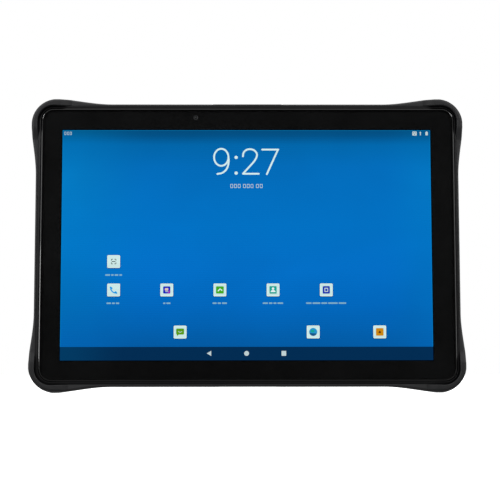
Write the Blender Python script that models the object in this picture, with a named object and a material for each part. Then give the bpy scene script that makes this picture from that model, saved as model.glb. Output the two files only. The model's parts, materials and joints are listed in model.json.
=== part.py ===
"""Rugged 10.1 inch handheld tablet (data collector) with a rubber edge guard and four corner bumpers.

Frame: metres. The tablet stands upright on its two lower corner bumpers, +Z up, its screen facing -Y
and +X to the right of a person looking at the screen. The origin is the centre of the bottom of the
bounding box. Sizes below are millimetres from the middle of the body; place() carries them to the frame.
"""

import math

import bmesh
import bpy
from mathutils import Matrix, Vector

# ---------------------------------------------------------------- driving dimensions (mm)
# _W and _H are half widths and half heights, _R corner radii. Pairs such as DOCK_X are (min, max).
MM = 0.001
OUTER_W, OUTER_H = 127.7, 86.6      # outer corners of the bumpers
WAIST_W, WAIST_H = 124.6, 83.25     # edge guard half way along each side
CORNER_R = 15.6
FLARE_X, FLARE_Z = 31.0, 29.0       # length of the flare along the long and the short sides
FLARE_ANGLE = math.radians(5.4)
ARC_STEPS, FLARE_STEPS = 7, 4
BODY_Z = OUTER_H                    # body centre above the ground plane

BODY_W, BODY_H, BODY_R = 122.0, 80.6, 8.0       # housing outline
FRAME_GROWTH = 0.9                  # bezel flange beyond the housing outline
GLASS_GROWTH = -1.0                 # cover glass beyond the housing outline
GLASS_FRONT, GLASS_BACK = -7.6, -6.2
FIT = 0.3                           # clearance of parts in their openings
STEP = 0.0001                       # depth of a shoulder where a turned profile jumps in radius
SEAM_X, SEAM_Z = 103.7, 61.6        # where a corner bumper meets the edge guard
SEAM_GAP = 0.2

DISPLAY_X, DISPLAY_Z = (-112.4, 111.5), (-75.7, 71.3)
DISPLAY_FLEX_X = (-58, -42)
BEZEL_X, BEZEL_Y = (-20.7, 20.7), (-2.6, 5.4)   # scan window bezel, top
PANE_X, PANE_Y = (-18.9, 18.9), (-0.5, 3.7)     # scan window pane
DOCK_X, DOCK_Y = (-15.0, 15.0), (-1.2, 2.8)     # dock contact block, bottom
DOCK_PAD_COUNT, DOCK_PAD_PITCH = 8, 3.4

# (x, z) places
SCREWS = [(side * x, z) for x, z in ((112, 70), (50, 73), (50, -73), (112, -70)) for side in (-1, 1)]
REAR_CAM = (92.0, 68.0)
FLASH = (77.5, 68.0)
FRONT_CAM = (-30.3, 74.5)
SPEAKER_X, SPEAKER_Z = 93.0, -61.0
SPEAKER_SLOT_COUNT, SPEAKER_SLOT_PITCH = 5, 3.4

# Side keys: side (-1 left, 1 right), z of the middle, length
ROCKER = (-1, 27.5, 18.6)
POWER = (-1, 10.4, 10.0)
SCAN = (1, 28.1, 15.0)
KEY_Y, KEY_HALF_Y = 0.1, 2.0
KEY_ORIGIN_X = 121.2
NIB_OFFSET, SWITCH_OFFSET = 6.05, 6.2           # from the middle of the rocker, up and down

# I/O bay on the right side
HINGE = (123.35, 4.2)               # (x, y) of the door hinge axis, parallel to Z
DOOR_Z = -21.5
USB = (0.7, -13.0)                  # (y, z)
AUDIO = (1.4, -21.6)                # (y, z)
CARD_Z = -31.5

SIDES = ((-1, "left"), (1, "right"))
CORNERS = [(side_x, side_z, word_x, word_z)
           for side_x, word_x in SIDES for side_z, word_z in ((-1, "bottom"), (1, "top"))]

# Rubber section from front to back: (depth y, inset from the widest line)
GUARD_SECTION = [(-6.9, 1.2), (-6.6, 0.75), (-5.0, 0.25), (-3.0, 0.0),
                 (3.2, 0.0), (5.6, 0.5), (6.9, 1.2), (7.3, 1.9)]
BUMPER_SECTION = [(-8.8, 1.8), (-8.4, 0.95), (-7.3, 0.25), (-5.2, 0.0),
                  (5.2, 0.0), (7.4, 0.35), (8.4, 0.95), (8.8, 1.8)]

for old in list(bpy.data.objects):
    bpy.data.objects.remove(old, do_unlink=True)


# ---------------------------------------------------------------- materials
def material(name, colour, roughness, metallic=0.0):
    mat = bpy.data.materials.new(name)
    mat.use_nodes = True
    shader = mat.node_tree.nodes["Principled BSDF"]
    shader.inputs["Base Color"].default_value = (*colour, 1.0)
    shader.inputs["Roughness"].default_value = roughness
    shader.inputs["Metallic"].default_value = metallic
    mat.diffuse_color = (*colour, 1.0)
    return mat


RUBBER = material("rubber", colour=(0.030, 0.030, 0.033), roughness=0.75)
BUMPER = material("bumper_rubber", colour=(0.034, 0.034, 0.037), roughness=0.68)
PLASTIC = material("housing_plastic", colour=(0.018, 0.018, 0.020), roughness=0.55)
GLOSS = material("gloss_trim", colour=(0.006, 0.006, 0.007), roughness=0.18)
GLASS = material("cover_glass", colour=(0.010, 0.010, 0.011), roughness=0.05)
SCREEN = material("display", colour=(0.0, 0.16, 0.55), roughness=0.2)
METAL = material("magnesium", colour=(0.42, 0.43, 0.45), roughness=0.45, metallic=1.0)
STEEL = material("steel", colour=(0.30, 0.30, 0.32), roughness=0.35, metallic=1.0)
BOARD = material("circuit_board", colour=(0.01, 0.09, 0.04), roughness=0.5)
FOIL = material("battery_wrap", colour=(0.05, 0.05, 0.06), roughness=0.4)
CERAMIC = material("ceramic", colour=(0.62, 0.56, 0.45), roughness=0.6)
FLEX = material("flex", colour=(0.45, 0.20, 0.04), roughness=0.45)


# ---------------------------------------------------------------- spans and outlines
def span(middle, half):
    return middle - half, middle + half


def widen(limits, margin):
    return limits[0] - margin, limits[1] + margin


def mirrored(side, inner, outer):
    """Span from inner to outer on the given side (-1 or 1) of the middle."""
    return sorted((side * inner, side * outer))


def flare(widest, waist, run):
    """(distance from the corner arc, half size) along a side that eases from corner to waist."""
    rise = widest - waist
    slope = -math.tan(FLARE_ANGLE) * run / rise
    points = []
    for i in range(1, FLARE_STEPS + 1):
        u = i / FLARE_STEPS
        ease = 2 * u ** 3 - 3 * u ** 2 + 1 + slope * (u ** 3 - 2 * u ** 2 + u)
        points.append((run * u, waist + rise * ease))
    return points


def flared(inset):
    """X-Z outline of the rubber: rounded corners proud of waisted sides."""
    radius = (CORNER_R - inset) / math.cos(FLARE_ANGLE)
    sweep = math.pi / 2 - 2 * FLARE_ANGLE
    angles = [-FLARE_ANGLE]
    angles += [FLARE_ANGLE + sweep * i / ARC_STEPS for i in range(ARC_STEPS + 1)]
    angles.append(math.pi / 2 + FLARE_ANGLE)
    arc = [(OUTER_W - CORNER_R + radius * math.cos(angle),
            OUTER_H - CORNER_R + radius * math.sin(angle)) for angle in angles]
    side = [(half - inset, arc[0][1] - run) for run, half in flare(OUTER_W, WAIST_W, FLARE_Z)]
    top = [(arc[-1][0] - run, half - inset) for run, half in flare(OUTER_H, WAIST_H, FLARE_X)]
    quarter = side[::-1] + arc + top
    upper = quarter + [(-x, z) for x, z in quarter[::-1]]
    return upper + [(-x, -z) for x, z in upper]


def rounded(half_w, half_h, radius, steps=6, middle=(0.0, 0.0)):
    points = []
    for side_w, side_h, start in ((1, 1, 0), (-1, 1, 90), (-1, -1, 180), (1, -1, 270)):
        for i in range(steps + 1):
            angle = math.radians(start + 90 * i / steps)
            points.append((middle[0] + side_w * (half_w - radius) + radius * math.cos(angle),
                           middle[1] + side_h * (half_h - radius) + radius * math.sin(angle)))
    return points


def body_outline(growth=0.0, radius=None, steps=6):
    """Housing outline moved outward by growth; the radius follows unless it is given."""
    if radius is None:
        radius = BODY_R + growth
    return rounded(BODY_W + growth, BODY_H + growth, radius, steps)


def circle(radius, count, middle=(0.0, 0.0), phase=0.0):
    angles = [2 * math.pi * (i + phase) / count for i in range(count)]
    return [(middle[0] + radius * math.cos(angle), middle[1] + radius * math.sin(angle))
            for angle in angles]


def rectangle(a_min, a_max, b_min, b_max):
    return [(a_min, b_min), (a_max, b_min), (a_max, b_max), (a_min, b_max)]


def shrink(outline, inset):
    """Outline scaled about its middle so that every side of its bounds moves in by inset."""
    axes = []
    for values in zip(*outline):
        middle = (min(values) + max(values)) / 2
        half = (max(values) - min(values)) / 2
        axes.append([middle + (value - middle) * (half - inset) / half for value in values])
    return list(zip(*axes))


# ---------------------------------------------------------------- solids
# Stacking axis -> 3D point. Outlines lie in the Y-Z, X-Z and X-Y planes in turn.
LIFT = {
    "x": lambda point, depth: (depth, *point),
    "y": lambda point, depth: (point[0], depth, point[1]),
    "z": lambda point, depth: (*point, depth),
}


class Shape:
    """Collects closed solids, in millimetres from the body centre, into one mesh."""

    def __init__(self):
        self.mesh = bmesh.new()

    def stack(self, levels, axis="y"):
        """Solid through (depth, outline) levels; all outlines have the same number of points."""
        lift = LIFT[axis]
        rings = [[self.mesh.verts.new(lift(point, depth)) for point in outline]
                 for depth, outline in levels]
        new_face = self.mesh.faces.new
        faces = [new_face(rings[0]), new_face(rings[-1][::-1])]
        count = len(rings[0])
        for low, high in zip(rings, rings[1:]):
            for i in range(count):
                j = (i + 1) % count
                faces.append(new_face((low[i], high[i], high[j], low[j])))
        bmesh.ops.recalc_face_normals(self.mesh, faces=faces)
        return self

    def prism(self, outline, start, end, axis="y"):
        return self.stack([(start, outline), (end, outline)], axis)

    def box(self, x_min, x_max, y_min, y_max, z_min, z_max):
        return self.prism(rectangle(x_min, x_max, z_min, z_max), y_min, y_max)

    def turned(self, middle, profile, count=20):
        """Solid of revolution about an axis parallel to Y; profile is (radius, y), front to back."""
        return self.stack([(y, circle(radius, count, middle)) for radius, y in profile])

    def ribbon(self, path, x_min, x_max, thickness):
        """Flat cable: a strip of constant thickness swept along a path in the Y-Z plane."""
        left, right = [], []
        last = len(path) - 1
        for i, point in enumerate(path):
            before = Vector(path[max(i - 1, 0)])
            after = Vector(path[min(i + 1, last)])
            along = (after - before).normalized()
            stretch = 1.0
            if 0 < i < last:
                # Widen the mitre at a bend, to twice the thickness at most
                arriving = (Vector(point) - before).normalized()
                stretch = 1 / max(0.5, abs(arriving.dot(along)))
            offset = Vector((-along.y, along.x)) * thickness / 2 * stretch
            left.append(tuple(Vector(point) + offset))
            right.append(tuple(Vector(point) - offset))
        return self.prism(left + right[::-1], x_min, x_max, "x")


def place(name, shape, mat=None, origin=(0.0, 0.0, 0.0)):
    """Turns a Shape into an object. The origin is in millimetres from the body centre."""
    move = Matrix.Translation(-Vector(origin))
    bmesh.ops.transform(shape.mesh, matrix=Matrix.Scale(MM, 4) @ move, verts=shape.mesh.verts)
    mesh = bpy.data.meshes.new(name)
    shape.mesh.to_mesh(mesh)
    shape.mesh.free()
    obj = bpy.data.objects.new(name, mesh)
    bpy.context.scene.collection.objects.link(obj)
    obj.location = Vector((origin[0], origin[1], origin[2] + BODY_Z)) * MM
    if mat is not None:
        mesh.materials.append(mat)
    return obj


def boolean(target, name, shape, operation):
    """Adds a Boolean modifier with a hidden tool object, and returns the tool."""
    tool = place("tool_" + name, shape)
    tool.hide_render = True
    tool.display_type = "WIRE"
    modifier = target.modifiers.new(f"{operation.lower()}_{tool.name}", "BOOLEAN")
    modifier.operation = operation
    modifier.solver = "EXACT"
    modifier.object = tool
    return tool


def cut(target, name, shape):
    return boolean(target, name, shape, "DIFFERENCE")


def keep(target, name, shape):
    return boolean(target, name, shape, "INTERSECT")


def weld_on(target, name, shape):
    return boolean(target, name, shape, "UNION")


def smooth(obj):
    obj.data.shade_smooth()
    obj.data.set_sharp_from_angle(angle=math.radians(35))


# ---------------------------------------------------------------- shapes shared by several pieces
def rubber_shape(section, extra=0.0):
    return Shape().stack([(y, flared(inset - extra)) for y, inset in section])


def corner_box(side_x, side_z, gap=0.0, y_max=20):
    """Everything outward of one corner's seams, from in front of the body back to y_max."""
    return Shape().box(*mirrored(side_x, SEAM_X - gap, 150), -20, y_max,
                       *mirrored(side_z, SEAM_Z - gap, 110))


def add_key_slots(shape, inner_x, outer_x, gap_y, gap_z):
    for side, z, length in (ROCKER, POWER, SCAN):
        shape.box(*mirrored(side, inner_x, outer_x), *span(KEY_Y, KEY_HALF_Y + gap_y),
                  *span(z, length / 2 + gap_z))


def front_camera_slot(y_min, y_max, z_min, z_max):
    return Shape().box(*span(FRONT_CAM[0], 3.9), y_min, y_max, z_min, z_max)


def hinge_bore():
    return Shape().prism(circle(0.62, 14, HINGE), *span(DOOR_Z, 19.5), "z")


# ---------------------------------------------------------------- rubber
def build_edge_guard():
    guard = place("edge_guard", rubber_shape(GUARD_SECTION), RUBBER)
    cut(guard, "guard_pocket", Shape().prism(body_outline(FIT), -12, 6.4))
    cut(guard, "guard_flange", Shape().prism(body_outline(FRAME_GROWTH + 0.2), -12, -5.4))
    cut(guard, "guard_back", Shape().prism(body_outline(-2.5, 6.8), 5.8, 12))
    # A thin band of the guard runs on under each bumper
    for side_x, side_z, word_x, word_z in CORNERS:
        tag = f"{word_x}_{word_z}"
        outside = cut(guard, "corner_outside_" + tag, corner_box(side_x, side_z, SEAM_GAP))
        cut(outside, "corner_band_" + tag, Shape().prism(body_outline(1.4), -30, 30))
        cut(guard, "corner_groove_" + tag, corner_box(side_x, side_z, SEAM_GAP, y_max=-5.25))
    openings = Shape()
    openings.box(*widen(BEZEL_X, FIT), *widen(BEZEL_Y, FIT), 79.5, 90)
    openings.box(*widen(DOCK_X, 2.0), *widen(DOCK_Y, 1.4), -90, -79.5)
    add_key_slots(openings, 121, 130, gap_y=0.6, gap_z=0.5)
    openings.box(121, 130, -3.1, 5.9, *span(DOOR_Z, 18.0))
    cut(guard, "guard_openings", openings)
    smooth(guard)


def build_corner_bumpers():
    for side_x, side_z, word_x, word_z in CORNERS:
        tag = f"{word_z}_{word_x}"
        bumper = place("corner_bumper_" + tag, rubber_shape(BUMPER_SECTION), BUMPER)
        keep(bumper, "bumper_keep_" + tag, corner_box(side_x, side_z))
        cut(bumper, "bumper_wall_" + tag, Shape().prism(body_outline(1.7, steps=8), -20, 7.6))
        cut(bumper, "bumper_pad_" + tag, Shape().prism(body_outline(-5.5, 9.0), 7.0, 20))
        smooth(bumper)


# ---------------------------------------------------------------- front frame, glass, display
def build_front_frame():
    frame = place("front_frame", Shape().stack([
        (-7.3, body_outline(-0.4)),
        (-6.7, body_outline(FRAME_GROWTH)),
        (-5.7, body_outline(FRAME_GROWTH)),
        (-5.6, body_outline()),
        (-2.8, body_outline()),
    ]), GLOSS)
    cut(frame, "glass_seat", Shape().prism(body_outline(GLASS_GROWTH + FIT), -10, -5.7))
    cut(frame, "display_window",
        Shape().box(*widen(DISPLAY_X, 1.0), -10, 0, *widen(DISPLAY_Z, 1.0)))
    cut(frame, "front_camera_notch", front_camera_slot(-10, 0, 70, 78.3))
    groove = cut(frame, "seal_groove", Shape().prism(body_outline(-0.5), -4.0, 0))
    cut(groove, "seal_groove_core", Shape().prism(body_outline(-1.5), -6, 2))
    smooth(frame)

    seal = place("housing_seal", Shape().prism(body_outline(-0.7), -3.7, -2.65), RUBBER)
    cut(seal, "seal_core", Shape().prism(body_outline(-1.3), -6, 0))


def build_cover_glass():
    edge = body_outline(GLASS_GROWTH)
    glass = place("cover_glass", Shape().stack([
        (GLASS_FRONT, body_outline(GLASS_GROWTH - 0.4)),
        (GLASS_FRONT + 0.35, edge),
        (GLASS_BACK, edge),
    ]), GLASS)
    smooth(glass)

    adhesive = Shape().prism(body_outline(GLASS_GROWTH - 0.3), -6.1, -5.8)
    gasket = place("glass_adhesive", adhesive, RUBBER)
    cut(gasket, "adhesive_window", Shape().box(-114.0, 113.1, -8, -4, -77.3, 72.8))
    cut(gasket, "adhesive_camera", front_camera_slot(-8, -4, 70, 78.3))


def build_display_and_camera():
    place("display_panel", Shape().box(*DISPLAY_X, -5.9, -3.2, *DISPLAY_Z), SCREEN)
    body = Shape().box(*span(FRONT_CAM[0], 3.0), -5.2, -1.4, 71.8, 77.4)
    camera = place("front_camera", body, GLOSS)
    barrel = Shape().turned(FRONT_CAM, [(1.5, -5.9), (1.9, -5.7), (1.9, -4.8)], 16)
    weld_on(camera, "front_camera_barrel", barrel)


# ---------------------------------------------------------------- chassis and rear housing
def build_chassis():
    plate = Shape().prism(body_outline(-3.2, 5.5, steps=4), -2.5, -1.1)
    chassis = place("mid_frame", plate, METAL)
    bosses = Shape()
    for screw in SCREWS:
        bosses.turned(screw, [(2.6, -1.8), (2.4, 5.2)], 14)
    weld_on(chassis, "bosses", bosses)

    holes = front_camera_slot(-5, 0, 71.0, 80)
    for screw in SCREWS:
        holes.turned(screw, [(1.05, 0.4), (1.05, 8.0)], 12)
    _, rocker_z, rocker_length = ROCKER
    # Room for the rocker's flange
    holes.box(-121.0, -117.6, -5, 0, *span(rocker_z, rocker_length / 2 + 1.6))
    holes.box(*widen(DISPLAY_FLEX_X, 4.0), -5, 0, 40.0, 45.0)
    for x in (-84, 84):
        for z in (10, -28):
            holes.prism(rounded(16, 9, 4, 3, (x, z)), -5, 0)
    cut(chassis, "chassis_holes", holes)


def rear_side_holes():
    holes = Shape()
    holes.box(*widen(PANE_X, FIT), *widen(PANE_Y, FIT), 77, 84)
    holes.box(*widen(DOCK_X, FIT), *widen(DOCK_Y, FIT), -84, -77)
    add_key_slots(holes, 118, 124, gap_y=FIT, gap_z=FIT)
    holes.box(118, 122.5, *span(USB[0], 1.9), *span(USB[1], 4.8))
    holes.box(118, 122.5, -0.6, 1.4, *span(CARD_Z, 6.0))
    holes.prism(circle(2.6, 16, AUDIO), 118, 122.5, "x")
    return holes


def rear_back_holes():
    holes = Shape()
    for screw in SCREWS:
        holes.turned(screw, [(1.25, 4.5), (1.25, 6.2), (2.5, 6.2 + STEP), (2.5, 9)], 16)
    holes.turned(REAR_CAM, [(6.5, 4), (6.5, 9)], 28)
    holes.turned(FLASH, [(2.3, 4), (2.3, 9)], 16)
    for side, _ in SIDES:
        for i in range(SPEAKER_SLOT_COUNT):
            z = SPEAKER_Z + (i - (SPEAKER_SLOT_COUNT - 1) / 2) * SPEAKER_SLOT_PITCH
            holes.prism(rounded(7.0, 0.8, 0.78, 3, (side * SPEAKER_X, z)), 4, 9)
    return holes


def build_rear_housing():
    rear = place("rear_housing", Shape().prism(body_outline(), -2.5, 6.1), PLASTIC)
    field = body_outline(-2.8, 6.5)
    weld_on(rear, "rear_field",
            Shape().stack([(5.9, field), (7.0, field), (7.3, body_outline(-3.1, 6.2))]))
    lugs = Shape()
    for end in (-1, 1):
        lugs.box(121.5, 124.1, 3.3, 5.2, *span(DOOR_Z + end * 17.2, 0.5))
    weld_on(rear, "hinge_lugs", lugs)
    cut(rear, "rear_cavity", Shape().prism(body_outline(-1.7, 6.4), -6, 4.6))
    cut(rear, "rear_cavity_deep", Shape().prism(body_outline(-4.1, 5.0), 4.0, 5.5))
    cut(rear, "rear_side_holes", rear_side_holes())
    cut(rear, "rear_back_holes", rear_back_holes())
    cut(rear, "hinge_pin_hole", hinge_bore())
    smooth(rear)


def build_rear_screws():
    profile = [(0.95, 0.8), (0.95, 6.4), (2.2, 6.4 + STEP), (2.2, 6.95), (1.95, 7.15)]
    for i, (x, z) in enumerate(SCREWS, start=1):
        shape = Shape().turned((x, z), profile, 16)
        screw = place(f"rear_screw_{i}", shape, STEEL, (x, 0, z))
        cut(screw, f"screw_socket_{i}", Shape().prism(circle(1.0, 6, (x, z)), 6.75, 9))
        smooth(screw)


# ---------------------------------------------------------------- scan window, top
def build_scan_window():
    bezel = place("scan_window_bezel", rubber_shape(GUARD_SECTION, extra=0.12), GLOSS)
    keep(bezel, "bezel_keep", Shape().box(*BEZEL_X, *BEZEL_Y, 80.9, 90))
    cut(bezel, "bezel_opening", Shape().box(-17.6, 17.6, -0.3, 3.5, 79, 90))
    place("scan_window", Shape().box(*PANE_X, *PANE_Y, 79.2, 80.5), GLASS)


def build_scan_engine():
    engine = place("scan_engine", Shape().box(-11, 11, -0.8, 4.2, 62, 76.6), METAL)
    lenses = Shape()
    for x, radius in ((-6.0, 1.9), (2.2, 1.6), (7.4, 1.3)):
        lenses.prism(circle(radius, 14, (x, 1.7)), 76.0, 78.2, "z")
    weld_on(engine, "engine_lenses", lenses)


# ---------------------------------------------------------------- dock contacts, bottom
def build_dock_contacts():
    dock = place("dock_contact_block", Shape().box(*DOCK_X, *DOCK_Y, -82.3, -77.8), PLASTIC)
    weld_on(dock, "dock_flange",
            Shape().box(*widen(DOCK_X, 1.6), *widen(DOCK_Y, 0.7), -78.7, -77.7))
    pads = Shape()
    for i in range(DOCK_PAD_COUNT):
        x = (i - (DOCK_PAD_COUNT - 1) / 2) * DOCK_PAD_PITCH
        pads.box(*span(x, 1.05), -0.3, 1.9, -90, -81.7)
    cut(dock, "dock_pads", pads)


# ---------------------------------------------------------------- rear camera and flash
def build_rear_camera():
    ring = Shape().turned(REAR_CAM, [(6.2, 5.8), (6.2, 7.6), (5.8, 8.0)], 28)
    bezel = place("rear_camera_bezel", ring, STEEL)
    bore = [(3.5, 4), (3.5, 6.9), (4.6, 6.9 + STEP), (4.6, 9)]
    cut(bezel, "camera_bezel_bore", Shape().turned(REAR_CAM, bore, 24))
    smooth(bezel)
    place("rear_camera_lens", Shape().turned(REAR_CAM, [(4.4, 7.0), (4.4, 7.7)], 24), GLASS)

    body = Shape().box(*span(REAR_CAM[0], 4.5), 0.2, 5.3, *span(REAR_CAM[1], 4.5))
    module = place("rear_camera_module", body, PLASTIC)
    barrel = Shape().turned(REAR_CAM, [(3.2, 4.8), (3.2, 6.6), (2.9, 6.8)], 18)
    weld_on(module, "camera_barrel", barrel)

    flash = Shape().turned(FLASH, [(2.0, 5.7), (2.0, 7.4), (1.7, 7.6)], 16)
    place("flash_lens", flash, GLASS)


# ---------------------------------------------------------------- speakers
def build_speakers():
    for side, word in SIDES:
        body = Shape().box(*mirrored(side, 78, 107.5), -0.6, 4.6, *span(SPEAKER_Z, 10.5))
        place("speaker_" + word, body, PLASTIC)
        mesh = Shape().box(*span(side * SPEAKER_X, 8.5), 4.9, 5.2, *span(SPEAKER_Z, 8.5))
        place("speaker_mesh_" + word, mesh, STEEL)


# ---------------------------------------------------------------- electronics
# Blocks on the main board: x min, x max, y min, y max, z min, z max
BOARD_PARTS = [
    (*DISPLAY_FLEX_X, -0.6, 0.7, 46.5, 52.0),
    (-76, -66, 0.7, 2.6, 29, 36),
    (-100, -88, 0.7, 2.2, 38, 50),
    (60, 72, 0.7, 2.0, 34, 46),
    (84, 98, 0.7, 2.8, 44, 56),
]
# Plain boxes: name, material, limits as above
PLAIN_PARTS = [
    ("shield_can_processor", STEEL, (-30, 12, 1.35, 3.5, 31, 56)),
    ("shield_can_radio", STEEL, (24, 52, 1.35, 3.1, 32, 55)),
    ("gnss_antenna", CERAMIC, (-101, -83, 0.2, 4.3, 61, 76.2)),
    ("wifi_antenna", BOARD, (59, 71, 1.0, 1.8, 62, 76.2)),
    ("cellular_antenna", BOARD, (-42, 42, 3.5, 4.3, -76.2, -68.6)),
]
# Flat cables: name, material, (x min, x max), thickness, path of (y, z)
CABLES = [
    ("battery_cable", RUBBER, (-64.5, -58.5), 0.6,
     [(1.9, 21.9), (2.6, 23.2), (2.9, 25.2), (2.9, 31)]),
    ("front_camera_flex", FLEX, span(FRONT_CAM[0], 2.0), 0.22,
     [(-1.0, FRONT_CAM[1]), (-1.0, 73.0), (-0.45, 70.6), (-0.35, 60.0), (-0.35, 56.5)]),
    ("rear_camera_flex", FLEX, span(REAR_CAM[0], 3.0), 0.22,
     [(2.0, 63.2), (2.0, 61.6), (1.65, 60.0), (1.6, 57.0)]),
    ("scan_engine_flex", FLEX, (-5.0, 5.0), 0.22,
     [(2.0, 61.7), (2.0, 60.6), (1.65, 59.4), (1.6, 57.0)]),
    ("display_flex", FLEX, DISPLAY_FLEX_X, 0.22,
     [(-2.85, 34), (-2.85, 41.5), (-2.0, 42.8), (-1.2, 43.6), (-0.75, 45.0), (-0.75, 45.9)]),
]


def build_electronics():
    board = place("main_board", Shape().box(-110, 110, 0.2, 1.2, 27, 59), BOARD)
    parts = Shape()
    for limits in BOARD_PARTS:
        parts.box(*limits)
    weld_on(board, "board_parts", parts)
    for name, mat, limits in PLAIN_PARTS:
        place(name, Shape().box(*limits), mat)
    for name, mat, x_limits, thickness, path in CABLES:
        place(name, Shape().ribbon(path, *x_limits, thickness), mat)
    pack = rounded(73, 43.5, 2.0, 2, (0, -22))
    place("battery_pack", Shape().prism(pack, -0.7, 4.5), FOIL)
    motor = Shape().turned((-95, -38), [(4.5, 0.3), (4.5, 3.4)])
    place("vibration_motor", motor, STEEL)


# ---------------------------------------------------------------- side keys
def build_key(name, position, flange, proud=0.0):
    """Key cap through guard and housing wall, held by an inner flange; proud is past the waist."""
    side, z, length = position
    face = rounded(KEY_HALF_Y, length / 2, 1.9, 3, (KEY_Y, z))
    tip = WAIST_W + proud
    levels = [(side * flange[0], face), (side * (tip - 0.35), face), (side * tip, shrink(face, 0.4))]
    cap = place(name, Shape().stack(levels, "x"), PLASTIC, (side * KEY_ORIGIN_X, KEY_Y, z))
    weld_on(cap, name + "_flange", Shape().box(
        *mirrored(side, *flange), *span(KEY_Y, KEY_HALF_Y + 0.7), *span(z, length / 2 + 0.7)))
    smooth(cap)
    return cap


def build_keys():
    build_key("power_button", POWER, flange=(119.4, 120.1), proud=-0.25)
    build_key("scan_button", SCAN, flange=(119.4, 120.1))
    rocker = build_key("volume_rocker", ROCKER, flange=(119.1, 119.75))
    for tag, offset in (("up", NIB_OFFSET), ("down", -NIB_OFFSET)):
        nib = rounded(1.3, 2.15, 1.25, 3, (KEY_Y, ROCKER[1] + offset))
        levels = [(-123.9, nib), (-124.75, nib), (-125.0, shrink(nib, 0.3))]
        weld_on(rocker, "rocker_nib_" + tag, Shape().stack(levels, "x"))


def build_key_board(name, switch_name, side, z_limits, switch_tip, switch_places):
    """Board inside a side wall with switches that reach out to switch_tip."""
    board_x = mirrored(side, 117.4, 118.2)
    board = place(name, Shape().box(*board_x, -0.85, 3.4, *z_limits), BOARD)
    switches = Shape()
    for z in switch_places:
        switches.box(*mirrored(side, 117.8, switch_tip), -0.7, 2.4, *span(z, 1.8))
    weld_on(board, switch_name, switches)


def build_key_boards():
    build_key_board("side_key_board", "side_switches", -1, (3.6, 39.2), 118.65,
                    (POWER[1], *span(ROCKER[1], SWITCH_OFFSET)))
    build_key_board("scan_key_board", "scan_switch", 1, (20, 36.2), 118.8, (SCAN[1],))


# ---------------------------------------------------------------- I/O bay
def build_io_sockets():
    place("io_board", Shape().box(103, 117.3, 3.9, 4.9, -42, -3), BOARD)

    shell = rounded(1.6, 4.5, 1.5, 4, USB)
    mouth = rounded(1.25, 4.15, 1.2, 4, USB)
    usb = place("usb_c_socket", Shape().prism(shell, 111.5, 121.7, "x"), STEEL)
    cut(usb, "usb_mouth", Shape().prism(mouth, 114.5, 125, "x"))
    weld_on(usb, "usb_tongue", Shape().box(113.5, 120.9, *span(USB[0], 0.35), *span(USB[1], 3.3)))

    barrel = Shape().prism(circle(2.3, 16, AUDIO), 109.0, 121.7, "x")
    audio = place("audio_socket", barrel, PLASTIC)
    cut(audio, "audio_bore", Shape().prism(circle(1.8, 16, AUDIO), 111.0, 125, "x"))

    slot = Shape().box(106.5, 121.6, -0.35, 1.15, *span(CARD_Z, 5.7))
    card = place("card_socket", slot, STEEL)
    cut(card, "card_mouth", Shape().box(108.0, 125, 0.05, 0.8, *span(CARD_Z, 5.4)))


def build_io_door():
    origin = (*HINGE, DOOR_Z)
    door_z = span(DOOR_Z, 16.4)
    pin = Shape().prism(circle(0.55, 12, HINGE), *span(DOOR_Z, 17.6), "z")
    place("io_hinge_pin", pin, STEEL)

    face = rectangle(-2.7, 4.1, *door_z)
    levels = [(122.6, face), (124.15, face), (124.4, shrink(face, 0.3))]
    door = place("io_door", Shape().stack(levels, "x"), RUBBER, origin)
    weld_on(door, "door_barrel", Shape().prism(circle(0.98, 16, HINGE, phase=0.5), *door_z, "z"))
    cut(door, "door_bore", hinge_bore())
    cut(door, "door_pull", Shape().box(123.6, 126, -4.0, -1.9, *span(DOOR_Z, 3.0)))
    smooth(door)

    sheet = Shape().box(122.15, 122.5, -2.3, 2.9, *span(DOOR_Z, 15.9))
    seal = place("io_door_seal", sheet, RUBBER, origin)
    cut(seal, "seal_window", Shape().box(121, 123, -1.5, 2.1, *span(DOOR_Z, 15.1)))


build_edge_guard()
build_corner_bumpers()
build_front_frame()
build_cover_glass()
build_display_and_camera()
build_chassis()
build_rear_housing()
build_rear_screws()
build_scan_window()
build_scan_engine()
build_dock_contacts()
build_rear_camera()
build_speakers()
build_electronics()
build_keys()
build_key_boards()
build_io_sockets()
build_io_door()
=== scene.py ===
# A rugged 10.1 inch tablet standing upright on the floor, its screen facing -y.
# Lengths are millimetres from the middle of the body: x to the right, y away from the viewer,
# z up. to_frame() carries a point to the frame in metres, where the floor is at z = 0.
import json
import math
from contextlib import contextmanager

import bmesh
import bpy
from mathutils import Matrix, Vector

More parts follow.
